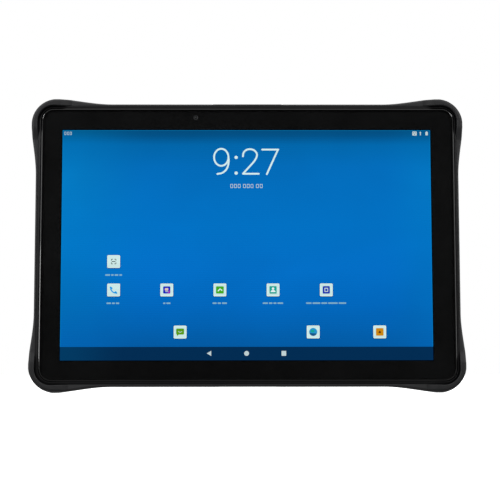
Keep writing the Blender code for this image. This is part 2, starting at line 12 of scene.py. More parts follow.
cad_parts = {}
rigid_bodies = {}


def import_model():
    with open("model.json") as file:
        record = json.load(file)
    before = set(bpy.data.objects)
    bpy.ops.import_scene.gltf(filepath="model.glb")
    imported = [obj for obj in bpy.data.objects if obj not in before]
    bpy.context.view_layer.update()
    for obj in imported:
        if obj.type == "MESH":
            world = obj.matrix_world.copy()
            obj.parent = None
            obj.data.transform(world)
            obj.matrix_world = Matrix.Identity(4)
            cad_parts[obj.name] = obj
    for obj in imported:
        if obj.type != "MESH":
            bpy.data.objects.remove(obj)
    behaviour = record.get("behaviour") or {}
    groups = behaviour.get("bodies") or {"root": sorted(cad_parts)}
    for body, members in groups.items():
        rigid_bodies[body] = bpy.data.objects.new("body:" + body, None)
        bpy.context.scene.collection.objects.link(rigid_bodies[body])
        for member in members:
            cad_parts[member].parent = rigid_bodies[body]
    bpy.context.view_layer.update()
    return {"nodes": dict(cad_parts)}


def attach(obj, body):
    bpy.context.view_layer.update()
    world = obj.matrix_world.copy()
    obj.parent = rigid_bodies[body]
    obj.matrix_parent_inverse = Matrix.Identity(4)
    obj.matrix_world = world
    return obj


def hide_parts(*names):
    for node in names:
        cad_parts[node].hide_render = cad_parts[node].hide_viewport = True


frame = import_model()

MM = 0.001
HALF_W, HALF_H = 127.7, 86.6            # edge guard at its corners, which flare outwards
MID_W, MID_H = 124.6, 83.25             # edge guard along the middle of its sides
CORNER_R = 15.6
FLARE_X, FLARE_Z = 31.0, 29.0           # lengths over which the guard flares out to a corner
FLARE = math.radians(5.4)               # slope of the flare where it meets the corner
ARC_X, ARC_Z = HALF_W - CORNER_R, HALF_H - CORNER_R
CORE_X, CORE_Z = 114.0, 72.6            # corner centre shared by the concentric body outlines
SEAM = (61.6, 103.7)                    # ends of a corner bumper: z on the side, x on the top
SEAM_OVERLAP = 0.06
SEAM_ROUND = 0.07

SCREWS = [(side * x, z) for x, z in ((112, 70), (50, 73), (50, -73), (112, -70)) for side in (-1, 1)]
REAR_CAM, FLASH, FRONT_CAM = (92.0, 68.0), (77.5, 68.0), (-30.42, 75.03)
SPEAKER_X, SPEAKER_Z = 93.0, -61.0
KEYS = {                                # z of the middle, length, side
    "volume": (27.5, 18.6, -1),
    "power": (10.4, 10.0, -1),
    "scan": (28.1, 15.0, 1),
}
KEY_Y = 0.1
NIB_DZ = 6.05
HINGE_X, HINGE_Y = 123.35, 4.2
USB_Y, USB_Z = 0.7, -13.0
AUDIO_Y, AUDIO_Z = 1.4, -21.6
CARD_Z = -31.5
DOOR_Z = -21.5
DOCK_Y = 0.8
DOCK_PADS, DOCK_PITCH = 8, 3.4
SCAN_WINDOW_Y = 1.6
BACK_Y = 7.3                            # back face of the housing

PIC_X, PIC_Z, PIC_W, PIC_H = -0.45, -0.2, 108.34, 67.64     # lit picture: middle, half sizes
PIC_BAR = -59.8                         # top of the picture's dark bar, from the middle
LCD_W, LCD_H, LCD_Z = 111.95, 73.5, -2.2
PIC_FACE, LAYER_STEP, LAYER_DEPTH = -5.915, 0.028, 0.016    # picture content lies in thin layers


def to_frame(point):
    x, y, z = point
    return (x * MM, y * MM, (z + HALF_H) * MM)


# ======================================================================= outlines
def axis_stations(flare_end, flare_length, step, flare_steps, low, seam):
    """Places along one side from low to the corner arc, thinned where closer than 0.35."""
    flare_start = flare_end - flare_length
    count = int(flare_start / step)
    places = {flare_end - flare_length * i / flare_steps for i in range(flare_steps + 1)}
    places |= {flare_start * i / count for i in range(count + 1)}
    if seam is not None:
        places.add(seam)
    kept = []
    for place in sorted(places):
        if place < low - 1e-9:
            continue
        if kept and place - kept[-1] < 0.35:
            if place == seam:
                kept[-1] = place
            continue
        kept.append(place)
    return kept


def stations(side_step=9.0, top_step=10.0, flare_steps=20, arc_steps=26,
             seam=(None, None), low=(0.0, 0.0)):
    """Stations (part, place) round the upper right quarter, from the side to the top.

    The place is z on the side, an angle on the corner and x on the top."""
    reach = CORNER_R * math.tan(FLARE)
    side = axis_stations(ARC_Z - reach, FLARE_Z, side_step, flare_steps, low[0], seam[0])
    top = axis_stations(ARC_X - reach, FLARE_X, top_step, flare_steps, low[1], seam[1])
    sweep = math.pi / 2 - 2 * FLARE
    arc = [("corner", FLARE + sweep * i / arc_steps) for i in range(arc_steps + 1)]
    return [("side", z) for z in side] + arc + [("top", x) for x in reversed(top)]


def flare_out(before_corner, length, half, mid):
    """Half size of the guard at a distance before its corner arc."""
    u = before_corner / length
    if u <= 0:
        return half
    if u >= 1:
        return mid
    depth = half - mid
    slope = -math.tan(FLARE) * length / depth
    ease = 2 * u ** 3 - 3 * u ** 2 + 1 + slope * (u ** 3 - 2 * u ** 2 + u)
    return mid + depth * ease


def flared(station, inset=0.0):
    """Point (x, z) of the guard's outline at a station, moved inwards by inset."""
    part, place = station
    radius = (CORNER_R - inset) / math.cos(FLARE)
    reach = radius * math.sin(FLARE)
    if part == "corner":
        return (ARC_X + radius * math.cos(place), ARC_Z + radius * math.sin(place))
    if part == "side":
        return (flare_out(ARC_Z - reach - place, FLARE_Z, HALF_W, MID_W) - inset, place)
    return (place, flare_out(ARC_X - reach - place, FLARE_X, HALF_H, MID_H) - inset)


def onto(point, half_w, half_h, radius, cx=0.0, cz=0.0):
    """Nearest point on a rounded rectangle that lies inside the given point."""
    x, z = point[0] - cx, point[1] - cz
    core_x = max(-(half_w - radius), min(half_w - radius, x))
    core_z = max(-(half_h - radius), min(half_h - radius, z))
    dx, dz = x - core_x, z - core_z
    distance = math.hypot(dx, dz)
    if distance < 1e-9:
        return (point[0], point[1])
    return (cx + core_x + dx / distance * radius, cz + core_z + dz / distance * radius)


def rounded(half_w, half_h, radius, steps=10, cx=0.0, cz=0.0):
    radius = max(min(radius, half_w - 1e-4, half_h - 1e-4), 1e-4)
    points = []
    for sx, sz, start in ((1, 1, 0), (-1, 1, 90), (-1, -1, 180), (1, -1, 270)):
        for i in range(steps + 1):
            t = math.radians(start + 90 * i / steps)
            points.append((cx + sx * (half_w - radius) + radius * math.cos(t),
                           cz + sz * (half_h - radius) + radius * math.sin(t)))
    return points


def between(a0, a1, b0, b1, radius, steps):
    """Rounded rectangle given by its limits."""
    return rounded((a1 - a0) / 2, (b1 - b0) / 2, radius, steps, (a0 + a1) / 2, (b0 + b1) / 2)


def circle(radius, count=32, cx=0.0, cz=0.0, phase=0.0):
    angles = [2 * math.pi * (i + phase) / count for i in range(count)]
    return [(cx + radius * math.cos(t), cz + radius * math.sin(t)) for t in angles]


def ellipse_path(cx, cz, rx, rz, start, end, steps):
    """Points on an ellipse between two angles in degrees."""
    angles = [math.radians(start + (end - start) * i / steps) for i in range(steps + 1)]
    return [(cx + rx * math.cos(t), cz + rz * math.sin(t)) for t in angles]


def bend(corners, steps=4):
    """Closed line through (point, radius) corners, each one with a radius turned as an arc."""
    line = []
    for i, (point, radius) in enumerate(corners):
        corner = Vector(point)
        if radius <= 0:
            line.append(tuple(corner))
            continue
        to_last = Vector(corners[i - 1][0]) - corner
        to_next = Vector(corners[(i + 1) % len(corners)][0]) - corner
        last_length, next_length = to_last.length, to_next.length
        to_last.normalize()
        to_next.normalize()
        half_angle = math.acos(max(-1.0, min(1.0, to_last.dot(to_next)))) / 2
        cut = max(radius / max(math.tan(half_angle), 1e-6), 0.8 * min(radius, 0.3))
        cut = min(cut, 0.46 * last_length, 0.46 * next_length)
        start, end = corner + to_last * cut, corner + to_next * cut
        weight = math.sin(half_angle)
        for k in range(steps + 1):
            q = k / steps
            b0, b1, b2 = (1 - q) ** 2, 2 * q * (1 - q) * weight, q * q
            line.append(tuple((start * b0 + corner * b1 + end * b2) / (b0 + b1 + b2)))
    return line


def shrink(outline, inset):
    """Closed 2D outline moved inwards by inset."""
    if abs(inset) < 1e-9:
        return outline
    count = len(outline)
    pairs = list(zip(outline, outline[1:] + outline[:1]))
    area = sum(a[0] * b[1] - b[0] * a[1] for a, b in pairs)
    sign = 1 if area > 0 else -1
    moved = []
    for i in range(count):
        before, point = Vector(outline[i - 1]), Vector(outline[i])
        e0, e1 = point - before, Vector(outline[(i + 1) % count]) - point
        n0 = Vector((-e0.y, e0.x)).normalized() if e0.length > 1e-9 else Vector((0, 0))
        n1 = Vector((-e1.y, e1.x)).normalized() if e1.length > 1e-9 else n0
        middle = n0 + n1
        if middle.length < 1e-6:
            middle = n0
        middle.normalize()
        shift = inset / max(0.5, middle.dot(n1)) * sign
        moved.append((point.x + middle.x * shift, point.y + middle.y * shift))
    return moved


def quarter_turn(steps):
    angles = [math.pi / 2 * i / steps for i in range(steps + 1)]
    return [(math.sin(t), math.cos(t)) for t in angles]


def edge_start(height, radius, steps):
    """Levels (height, inset) of the rounded edge at the low end of a solid."""
    if radius == 0:
        return [(height, 0.0)]
    return [(height + radius * (1 - c), radius * (1 - s)) for s, c in quarter_turn(steps)]


def edge_end(height, radius, steps):
    """Levels (height, inset) of the rounded edge at the high end of a solid."""
    if radius == 0:
        return [(height, 0.0)]
    return [(height - radius + radius * s, radius * (1 - c)) for s, c in quarter_turn(steps)]


def mouth(floor, surface, radius, steps, beyond, widen):
    """Levels of a cutter whose mouth at the surface is rounded, and which runs on beyond it."""
    lip = [(height, -inset) for height, inset in edge_end(surface, radius, steps)]
    return [(floor, 0.0)] + lip + [(surface + beyond, -radius - widen)]


# ======================================================================= building meshes
ALONG = {                               # outline point (a, b) and height to (x, y, z)
    "x": lambda a, b, height: (height, a, b),
    "y": lambda a, b, height: (a, height, b),
    "z": lambda a, b, height: (a, b, height),
}


@contextmanager
def editing(mesh):
    bm = bmesh.new()
    bm.from_mesh(mesh)
    yield bm
    bm.to_mesh(mesh)
    bm.free()


def link_object(name, data):
    obj = bpy.data.objects.new(name, data)
    bpy.context.scene.collection.objects.link(obj)
    return obj


def weighted_normals(obj, weight=50):
    modifier = obj.modifiers.new("weighted_normal", "WEIGHTED_NORMAL")
    modifier.keep_sharp = True
    modifier.weight = weight


def smooth_shading(obj, sharp, weighted=True):
    """Smooth faces, with edges sharp above an angle in degrees."""
    obj.data.shade_smooth()
    obj.data.set_sharp_from_angle(angle=math.radians(sharp))
    if weighted:
        weighted_normals(obj, weight=60)


class Solid:
    """Collects closed solids in millimetres; mat is the material slot of what is added."""

    def __init__(self):
        self.points, self.faces, self.slots = [], [], []

    def add_ring(self, points):
        start = len(self.points)
        self.points.extend(points)
        return list(range(start, start + len(points)))

    def add_face(self, face, mat=0):
        self.faces.append(face)
        self.slots.append(mat)

    def loft(self, rings, mat=0, wrap=False):
        """Skin over rings of equal length, closed into a loop or capped at both ends."""
        ids = [self.add_ring(ring) for ring in rings]
        pairs = list(zip(ids, ids[1:]))
        if wrap:
            pairs.append((ids[-1], ids[0]))
        for a, b in pairs:
            for i in range(len(a)):
                j = (i + 1) % len(a)
                self.add_face((a[i], a[j], b[j], b[i]), mat)
        if not wrap:
            self.add_face(tuple(ids[0][::-1]), mat)
            self.add_face(tuple(ids[-1]), mat)
        return self

    def stack(self, outline, levels, axis="y", mat=0):
        """Outline lofted through (height, inset) levels along an axis."""
        place = ALONG[axis]
        return self.loft([[place(a, b, height) for a, b in shrink(outline, inset)]
                          for height, inset in levels], mat)

    def prism(self, outline, low, high, round_low=0.0, round_high=0.0, axis="y", mat=0, steps=3):
        levels = edge_start(low, round_low, steps) + edge_end(high, round_high, steps)
        return self.stack(outline, levels, axis, mat)

    def turned(self, centre, profile, count=48, mat=0, axis="y", wrap=False):
        """Solid of revolution about an axis; profile holds (radius, height)."""
        place = ALONG[axis]
        return self.loft([[place(a, b, height) for a, b in circle(radius, count, *centre)]
                          for radius, height in profile], mat, wrap)

    def band(self, outer, inner, y0, y1, mat=0):
        """Flat ring between two outlines with the same number of points."""
        sides = ((inner, y0), (outer, y0), (outer, y1), (inner, y1))
        return self.loft([[(x, y, z) for x, z in line] for line, y in sides], mat, wrap=True)

    def sleeve(self, outer, inner, back, front, fillets, steps=3):
        """Tube along x from the outer outline in to a rounded rectangle given as for onto()."""
        rings = []
        for point in outer:
            inside = onto(point, *inner)
            corners = ((back, *point), (front, *point), (front, *inside), (back, *inside))
            rings.append(bend(list(zip(corners, fillets)), steps))
        return self.loft(rings, wrap=True)

    def data(self, name, materials):
        mesh = bpy.data.meshes.new(name)
        mesh.from_pydata([to_frame(point) for point in self.points], [], self.faces)
        for material in materials:
            mesh.materials.append(material)
        mesh.polygons.foreach_set("material_index", self.slots)
        with editing(mesh) as bm:
            bmesh.ops.recalc_face_normals(bm, faces=bm.faces)
        return mesh

    def make(self, name, *materials, slot, replaces=None, body="tablet", sharp=38.0,
             weighted=True):
        obj = link_object(name, self.data(name, materials))
        smooth_shading(obj, sharp, weighted)
        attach(obj, body)
        if replaces:
            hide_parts(replaces)
        return obj


def carve(obj, cutters, operation="DIFFERENCE"):
    """Cuts (or joins) solids into a piece, leaves a plain mesh and removes the tools."""
    obj.modifiers.clear()
    tools = []
    for cutter in cutters:
        tool = link_object("tool", cutter.data("tool", obj.data.materials))
        tool.parent = obj.parent
        tools.append(tool)
        boolean = obj.modifiers.new("cut", "BOOLEAN")
        boolean.operation, boolean.solver, boolean.object = operation, "EXACT", tool
        boolean.material_mode = "INDEX"
    bpy.context.view_layer.update()
    depsgraph = bpy.context.evaluated_depsgraph_get()
    result = bpy.data.meshes.new_from_object(obj.evaluated_get(depsgraph), depsgraph=depsgraph)
    obj.modifiers.clear()
    old = obj.data
    name = old.name
    obj.data = result
    bpy.data.meshes.remove(old)
    result.name = name
    for tool in tools:
        mesh = tool.data
        bpy.data.objects.remove(tool)
        bpy.data.meshes.remove(mesh)
    with editing(result) as bm:
        bmesh.ops.remove_doubles(bm, verts=bm.verts, dist=2e-7)
        bmesh.ops.dissolve_degenerate(bm, edges=bm.edges, dist=2e-7)
    smooth_shading(obj, sharp=34)
    return obj


# ======================================================================= shader nodes
def lin(colour):
    """Linear colour from 0-255 sRGB."""
    parts = [value / 255 for value in colour]
    return tuple(v / 12.92 if v <= 0.04045 else ((v + 0.055) / 1.055) ** 2.4 for v in parts)


def scaled(colour, factor):
    return tuple(value * factor for value in colour)


class Nodes:
    """A node tree being built, with its texture coordinates."""

    def __init__(self, tree, coordinates):
        self.tree = tree
        tree.nodes.clear()
        self.coordinates = self.node("ShaderNodeTexCoord").outputs[coordinates]

    def put(self, socket, value):
        """Sets a number, vector or colour, or links another node's output."""
        if isinstance(value, (int, float)):
            socket.default_value = value
        elif isinstance(value, tuple):
            socket.default_value = (*value, 1.0)[:len(socket.default_value)]
        else:
            self.tree.links.new(value, socket)

    def node(self, kind, inputs=None, **settings):
        node = self.tree.nodes.new(kind)
        for key, value in settings.items():
            setattr(node, key, value)
        for key, value in (inputs or {}).items():
            self.put(node.inputs[key], value)
        return node

    def axes(self):
        return self.node("ShaderNodeSeparateXYZ", {0: self.coordinates}).outputs

    def math(self, operation, a, b=0.0, c=0.0, clamp=False):
        """Math node; an input given as None keeps its default."""
        inputs = {i: value for i, value in enumerate((a, b, c)) if value is not None}
        return self.node("ShaderNodeMath", inputs, operation=operation, use_clamp=clamp).outputs[0]

    def span(self, value, over, to=(0.0, 1.0), smooth=False):
        """Carries the range over to the range to."""
        inputs = {"From Min": over[0], "From Max": over[1], "To Min": to[0], "To Max": to[1],
                  "Value": value}
        kind = "SMOOTHSTEP" if smooth else "LINEAR"
        return self.node("ShaderNodeMapRange", inputs, interpolation_type=kind).outputs[0]


class Material(Nodes):
    """Material on a Principled shader, with coordinates that stay with the piece."""

    def __init__(self, name):
        self.material = bpy.data.materials.new(name)
        self.material.use_nodes = True
        super().__init__(self.material.node_tree, "Object")
        self.output = self.node("ShaderNodeOutputMaterial")
        self.principled = self.node("ShaderNodeBsdfPrincipled")
        self.put(self.output.inputs[0], self.principled.outputs[0])

    def texture(self, kind, **inputs):
        return self.node(kind, {"Vector": self.coordinates, **inputs}).outputs

    def noise(self, scale, detail=3.0, rough=0.55, stretch=None, distortion=0.0):
        vector = self.coordinates
        if stretch:
            mapping = {"Scale": stretch, "Vector": vector}
            vector = self.node("ShaderNodeMapping", mapping).outputs[0]
        inputs = {"Scale": scale, "Detail": detail, "Roughness": rough,
                  "Distortion": distortion, "Vector": vector}
        return self.node("ShaderNodeTexNoise", inputs).outputs["Fac"]

    def mottle(self, scale, to=(0.0, 1.0), over=(0.3, 0.7), **noise):
        """Noise carried to a range."""
        return self.span(self.noise(scale, **noise), over=over, to=to)

    def mix(self, factor, a, b, kind="MIX"):
        inputs = {0: factor, 6: a, 7: b}
        return self.node("ShaderNodeMix", inputs, data_type="RGBA", blend_type=kind).outputs[2]

    def ramp(self, value, stops):
        """Colour ramp through (position, sRGB colour) stops."""
        node = self.node("ShaderNodeValToRGB", {0: value})
        elements = node.color_ramp.elements
        while len(elements) > 1:
            elements.remove(elements[-1])
        elements[0].position, elements[0].color = stops[0][0], (*lin(stops[0][1]), 1.0)
        for position, colour in stops[1:]:
            elements.new(position).color = (*lin(colour), 1.0)
        return node.outputs[0]

    def bump(self, height, strength, distance):
        inputs = {"Strength": strength, "Distance": distance, "Height": height}
        return self.node("ShaderNodeBump", inputs).outputs[0]

    def shade(self, inputs):
        """Fills in the Principled shader and gives the finished material."""
        for key, value in inputs.items():
            self.put(self.principled.inputs[key], value)
        return self.material


# ======================================================================= materials
def moulded(name, dark, light, rough, blotch, grain, bump, depth=0.00006, coat=0.0, spec=0.5,
            edge=None):
    """Moulded rubber, plastic or paint: two tones in soft blotches, with a fine grain.

    An edge colour paints the convex edges lighter, partly as wear and partly as a painted highlight,
    and adds a coarser grain."""
    mat = Material(name)
    blotches = mat.noise(blotch, detail=4.0, rough=0.6)
    fine = mat.noise(grain, detail=2.0, rough=0.6)
    colour = mat.mix(mat.span(blotches, over=(0.35, 0.68)), dark, light)
    specks = mat.span(fine, over=(0.3, 0.75), to=(0.0, 0.35))
    colour = mat.mix(specks, colour, scaled(dark, 0.72))
    height = fine
    if edge:
        pointiness = mat.node("ShaderNodeNewGeometry").outputs["Pointiness"]
        patches = mat.mottle(420.0, over=(0.35, 0.6), detail=4.0, rough=0.7)
        # Convex edges take the lighter edge colour in patches: partly wear, partly a painted
        # highlight.
        edge_wear_and_highlight = mat.span(pointiness, over=(0.53, 0.66))
        colour = mat.mix(mat.math("MULTIPLY", edge_wear_and_highlight, patches, clamp=True), colour, edge)
        coarse = mat.math("MULTIPLY", mat.noise(700.0, detail=1.0), 0.4)
        height = mat.math("ADD", fine, coarse)
    return mat.shade({
        "Base Color": colour,
        "Roughness": mat.math("ADD", mat.span(blotches, over=(0.3, 0.7), to=rough),
                              mat.span(fine, over=(0.3, 0.7), to=(-0.05, 0.05))),
        "Normal": mat.bump(height, strength=bump, distance=depth),
        "Coat Weight": coat,
        "Specular IOR Level": spec,
    })


def metal(name, dark, light, rough, grain=1800.0, bump=0.08, streak=None):
    mat = Material(name)
    blotches = mat.noise(90.0, detail=4.0, rough=0.6)
    fine = mat.noise(grain, detail=3.0, rough=0.6, stretch=streak)
    return mat.shade({
        "Base Color": mat.mix(mat.span(blotches, over=(0.35, 0.7)), dark, light),
        "Roughness": mat.math("ADD", mat.span(fine, over=(0.3, 0.7), to=rough),
                              mat.span(blotches, over=(0.3, 0.7), to=(-0.03, 0.04))),
        "Metallic": 1.0,
        "Normal": mat.bump(fine, strength=bump, distance=0.00005),
    })


RUBBER = moulded("guard_rubber", dark=(0.014, 0.014, 0.0155), light=(0.021, 0.021, 0.0235),
                 rough=(0.52, 0.66), blotch=45, grain=2300, bump=0.35)
# The bumpers' lighter edge colour is partly wear and partly a painted highlight along their lip
# edges.
BUMPER = moulded("bumper_rubber", dark=(0.0131, 0.0131, 0.0147), light=(0.0201, 0.0201, 0.0224),
                 rough=(0.48, 0.62), blotch=60, grain=1900, bump=0.4,
                 edge=(0.045, 0.045, 0.049), spec=0.38)
HOUSING = moulded("housing_plastic", dark=(0.014, 0.014, 0.016), light=(0.021, 0.021, 0.023),
                  rough=(0.48, 0.6), blotch=35, grain=1500, bump=0.5, depth=0.00008)
PANEL = moulded("rear_panel_plastic", dark=(0.020, 0.021, 0.023), light=(0.028, 0.029, 0.031),
                rough=(0.55, 0.7), blotch=30, grain=1100, bump=0.6, depth=0.0001)
TRIM = moulded("gloss_trim", dark=(0.004, 0.004, 0.005), light=(0.008, 0.008, 0.009),
               rough=(0.34, 0.44), blotch=80, grain=3000, bump=0.08, spec=0.22)
KEY = moulded("key_plastic", dark=(0.016, 0.016, 0.018), light=(0.024, 0.024, 0.026),
              rough=(0.36, 0.48), blotch=120, grain=2600, bump=0.25)
SEAL = moulded("seal_rubber", dark=(0.012, 0.012, 0.013), light=(0.02, 0.02, 0.022),
               rough=(0.6, 0.75), blotch=160, grain=3000, bump=0.3)
BLACK = moulded("black_plastic", dark=(0.008, 0.008, 0.009), light=(0.014, 0.014, 0.015),
                rough=(0.4, 0.55), blotch=150, grain=2200, bump=0.2)
INK = moulded("border_ink", dark=(0.0026, 0.0026, 0.0028), light=(0.0040, 0.0040, 0.0043),
              rough=(0.35, 0.45), blotch=30, grain=1500, bump=0.03, spec=0.1)
EDGE_INK = moulded("glass_edge_ink", dark=(0.0044, 0.0044, 0.0047),
                   light=(0.0060, 0.0060, 0.0064), rough=(0.05, 0.09), blotch=120, grain=2500,
                   bump=0.01)
STEEL = metal("stainless_steel", dark=(0.42, 0.42, 0.43), light=(0.56, 0.56, 0.57),
              rough=(0.22, 0.36), streak=(1.0, 0.06, 1.0))
SCREW = metal("screw_steel", dark=(0.10, 0.10, 0.105), light=(0.17, 0.17, 0.175),
              rough=(0.3, 0.45))
RING_METAL = metal("camera_ring_metal", dark=(0.10, 0.105, 0.11), light=(0.16, 0.165, 0.17),
                   rough=(0.24, 0.34))
MAGNESIUM = metal("cast_magnesium", dark=(0.40, 0.41, 0.43), light=(0.55, 0.56, 0.58),
                  rough=(0.42, 0.6), grain=900.0, bump=0.3)
GOLD = metal("gold_contact", dark=(0.72, 0.50, 0.20), light=(0.90, 0.66, 0.30),
             rough=(0.18, 0.3))
SHIELD = metal("tinned_shield", dark=(0.55, 0.55, 0.54), light=(0.70, 0.70, 0.69),
               rough=(0.28, 0.42), grain=600.0, bump=0.15)
RING_PAINT = moulded("camera_ring_paint", dark=(0.040, 0.041, 0.044),
                     light=(0.059, 0.060, 0.064), rough=(0.45, 0.55), blotch=300, grain=3000,
                     bump=0.1)
CAMERA_LENS = moulded("camera_lens_dark", dark=(0.002, 0.002, 0.004),
                      light=(0.004, 0.004, 0.008), rough=(0.06, 0.1), blotch=300, grain=3000,
                      bump=0.0, coat=0.5)
WRAP = moulded("battery_wrap", dark=(0.012, 0.013, 0.016), light=(0.026, 0.028, 0.034),
               rough=(0.22, 0.36), blotch=30, grain=700, bump=0.25, depth=0.0002, coat=0.2)
CERAMIC = moulded("antenna_ceramic", dark=(0.52, 0.46, 0.36), light=(0.64, 0.58, 0.47),
                  rough=(0.55, 0.7), blotch=140, grain=1500, bump=0.3)
CABLE = moulded("cable_jacket", dark=(0.02, 0.004, 0.004), light=(0.05, 0.01, 0.01),
                rough=(0.45, 0.6), blotch=200, grain=2000, bump=0.2)
ADHESIVE = moulded("adhesive_foam", dark=(0.010, 0.010, 0.011), light=(0.018, 0.018, 0.02),
                   rough=(0.75, 0.9), blotch=90, grain=1500, bump=0.5)


def cover_glass():
    """Clear flat glass: sees straight through, and its outer face reflects for both."""
    mat = Material("cover_glass")
    mat.tree.nodes.remove(mat.principled)
    tint = mat.mix(mat.mottle(28.0, rough=0.6), (0.985, 0.99, 0.99), (0.995, 1.0, 1.0))
    clear = mat.node("ShaderNodeBsdfTransparent", {"Color": tint})
    smears = mat.mottle(140.0, over=(0.45, 0.8), to=(0.0, 0.02), detail=4.0, rough=0.65)
    shine = mat.node("ShaderNodeBsdfGlossy", {"Color": (1.0, 1.0, 1.0), "Roughness": smears})
    fresnel = mat.node("ShaderNodeFresnel", {"IOR": 1.45}).outputs[0]
    backfacing = mat.node("ShaderNodeNewGeometry").outputs["Backfacing"]
    outer = mat.math("MULTIPLY", fresnel, mat.math("SUBTRACT", 1.0, backfacing))
    two_faces = 1.15                    # the outer reflection raised to stand for both
    share = mat.math("MULTIPLY", outer, two_faces, clamp=True)
    surface = {0: share, 1: clear.outputs[0], 2: shine.outputs[0]}
    mat.put(mat.output.inputs[0], mat.node("ShaderNodeMixShader", surface).outputs[0])
    return mat.material


def lens_glass():
    mat = Material("lens_glass")
    tint = (0.86, 0.88, 0.95)
    return mat.shade({
        "Base Color": mat.mix(mat.mottle(28.0, rough=0.6), tint, scaled(tint, 1.01)),
        "Roughness": mat.mottle(140.0, over=(0.45, 0.8), to=(0.0, 0.0), detail=4.0, rough=0.65),
        "Transmission Weight": 1.0,
        "IOR": 1.52,
    })


def smoked_window():
    mat = Material("smoked_window")
    return mat.shade({
        "Base Color": mat.mix(mat.mottle(200.0), (0.012, 0.002, 0.003), (0.02, 0.003, 0.004)),
        "Roughness": mat.mottle(400.0, to=(0.04, 0.09)),
        "Coat Weight": 0.6,
    })


def flash_diffuser():
    mat = Material("flash_diffuser")
    return mat.shade({
        "Base Color": mat.mix(mat.mottle(900.0), (0.75, 0.72, 0.55), (0.85, 0.82, 0.66)),
        "Roughness": mat.mottle(1500.0, to=(0.18, 0.32)),
        "Coat Weight": 0.7,
    })


def circuit_board():
    """Green board with brick-like traces and gold dots."""
    mat = Material("circuit_board")
    brick = {"Scale": 260.0, "Mortar Size": 0.035}
    traces = mat.texture("ShaderNodeTexBrick", **brick)["Fac"]
    dots = mat.texture("ShaderNodeTexVoronoi", Scale=700.0)["Distance"]
    colour = mat.mix(mat.mottle(60.0), (0.004, 0.045, 0.02), (0.008, 0.075, 0.034))
    colour = mat.mix(mat.math("MULTIPLY", traces, 0.6), colour, (0.02, 0.13, 0.06))
    colour = mat.mix(mat.math("LESS_THAN", dots, 0.13), colour, (0.45, 0.36, 0.14))
    return mat.shade({
        "Base Color": colour,
        "Roughness": mat.mottle(300.0, to=(0.32, 0.48)),
        "Normal": mat.bump(traces, strength=0.25, distance=0.00003),
    })


def flex_cable():
    mat = Material("flex_cable")
    wave = mat.texture("ShaderNodeTexWave", Scale=380.0)["Fac"]
    stripes = mat.span(wave, over=(0.3, 0.6))
    return mat.shade({
        "Base Color": mat.mix(stripes, (0.30, 0.13, 0.025), (0.52, 0.26, 0.06)),
        "Roughness": mat.mottle(500.0, to=(0.28, 0.42)),
        "Coat Weight": 0.3,
    })


def glow(name, colour):
    """Lit part of the picture on the screen: emission with the fine lines of the panel in it."""
    mat = Material(name)
    lines = mat.mottle(900.0, to=(0.95, 1.05), detail=1.0, rough=0.5, stretch=(0.02, 0.02, 1.0))
    unlit = lin((2, 2, 3))
    return mat.shade({
        "Base Color": mat.mix(mat.mottle(300.0), unlit, scaled(unlit, 0.8)),
        "Emission Color": mat.mix(1.0, lin(colour), lines, "MULTIPLY"),
        "Emission Strength": 1.0,
        "Roughness": mat.mottle(500.0, to=(0.45, 0.6)),
        "Specular IOR Level": 0.1,
    })


# Wallpaper colours (sRGB) by the share of the way down the picture.
WALLPAPER_MIDDLE = [
    (0.0, (3, 76, 124)), (0.025, (2, 82, 136)), (0.065, (1, 102, 170)), (0.16, (2, 107, 184)),
    (0.42, (1, 112, 194)), (0.60, (2, 110, 197)), (0.76, (1, 104, 190)), (0.94, (2, 90, 163)),
]
WALLPAPER_EDGE = [
    (0.0, (1, 90, 138)), (0.06, (1, 110, 178)), (0.2, (3, 121, 193)), (0.5, (1, 119, 198)),
    (0.75, (1, 108, 182)), (0.94, (2, 98, 176)),
]
RIM_WIDTH, RIM_SHARE, RIM_COLOUR = 0.32, 0.5, (0, 140, 210)   # bright line round the picture
PANEL_LINES = 4750.0                                          # radians of line pattern per metre


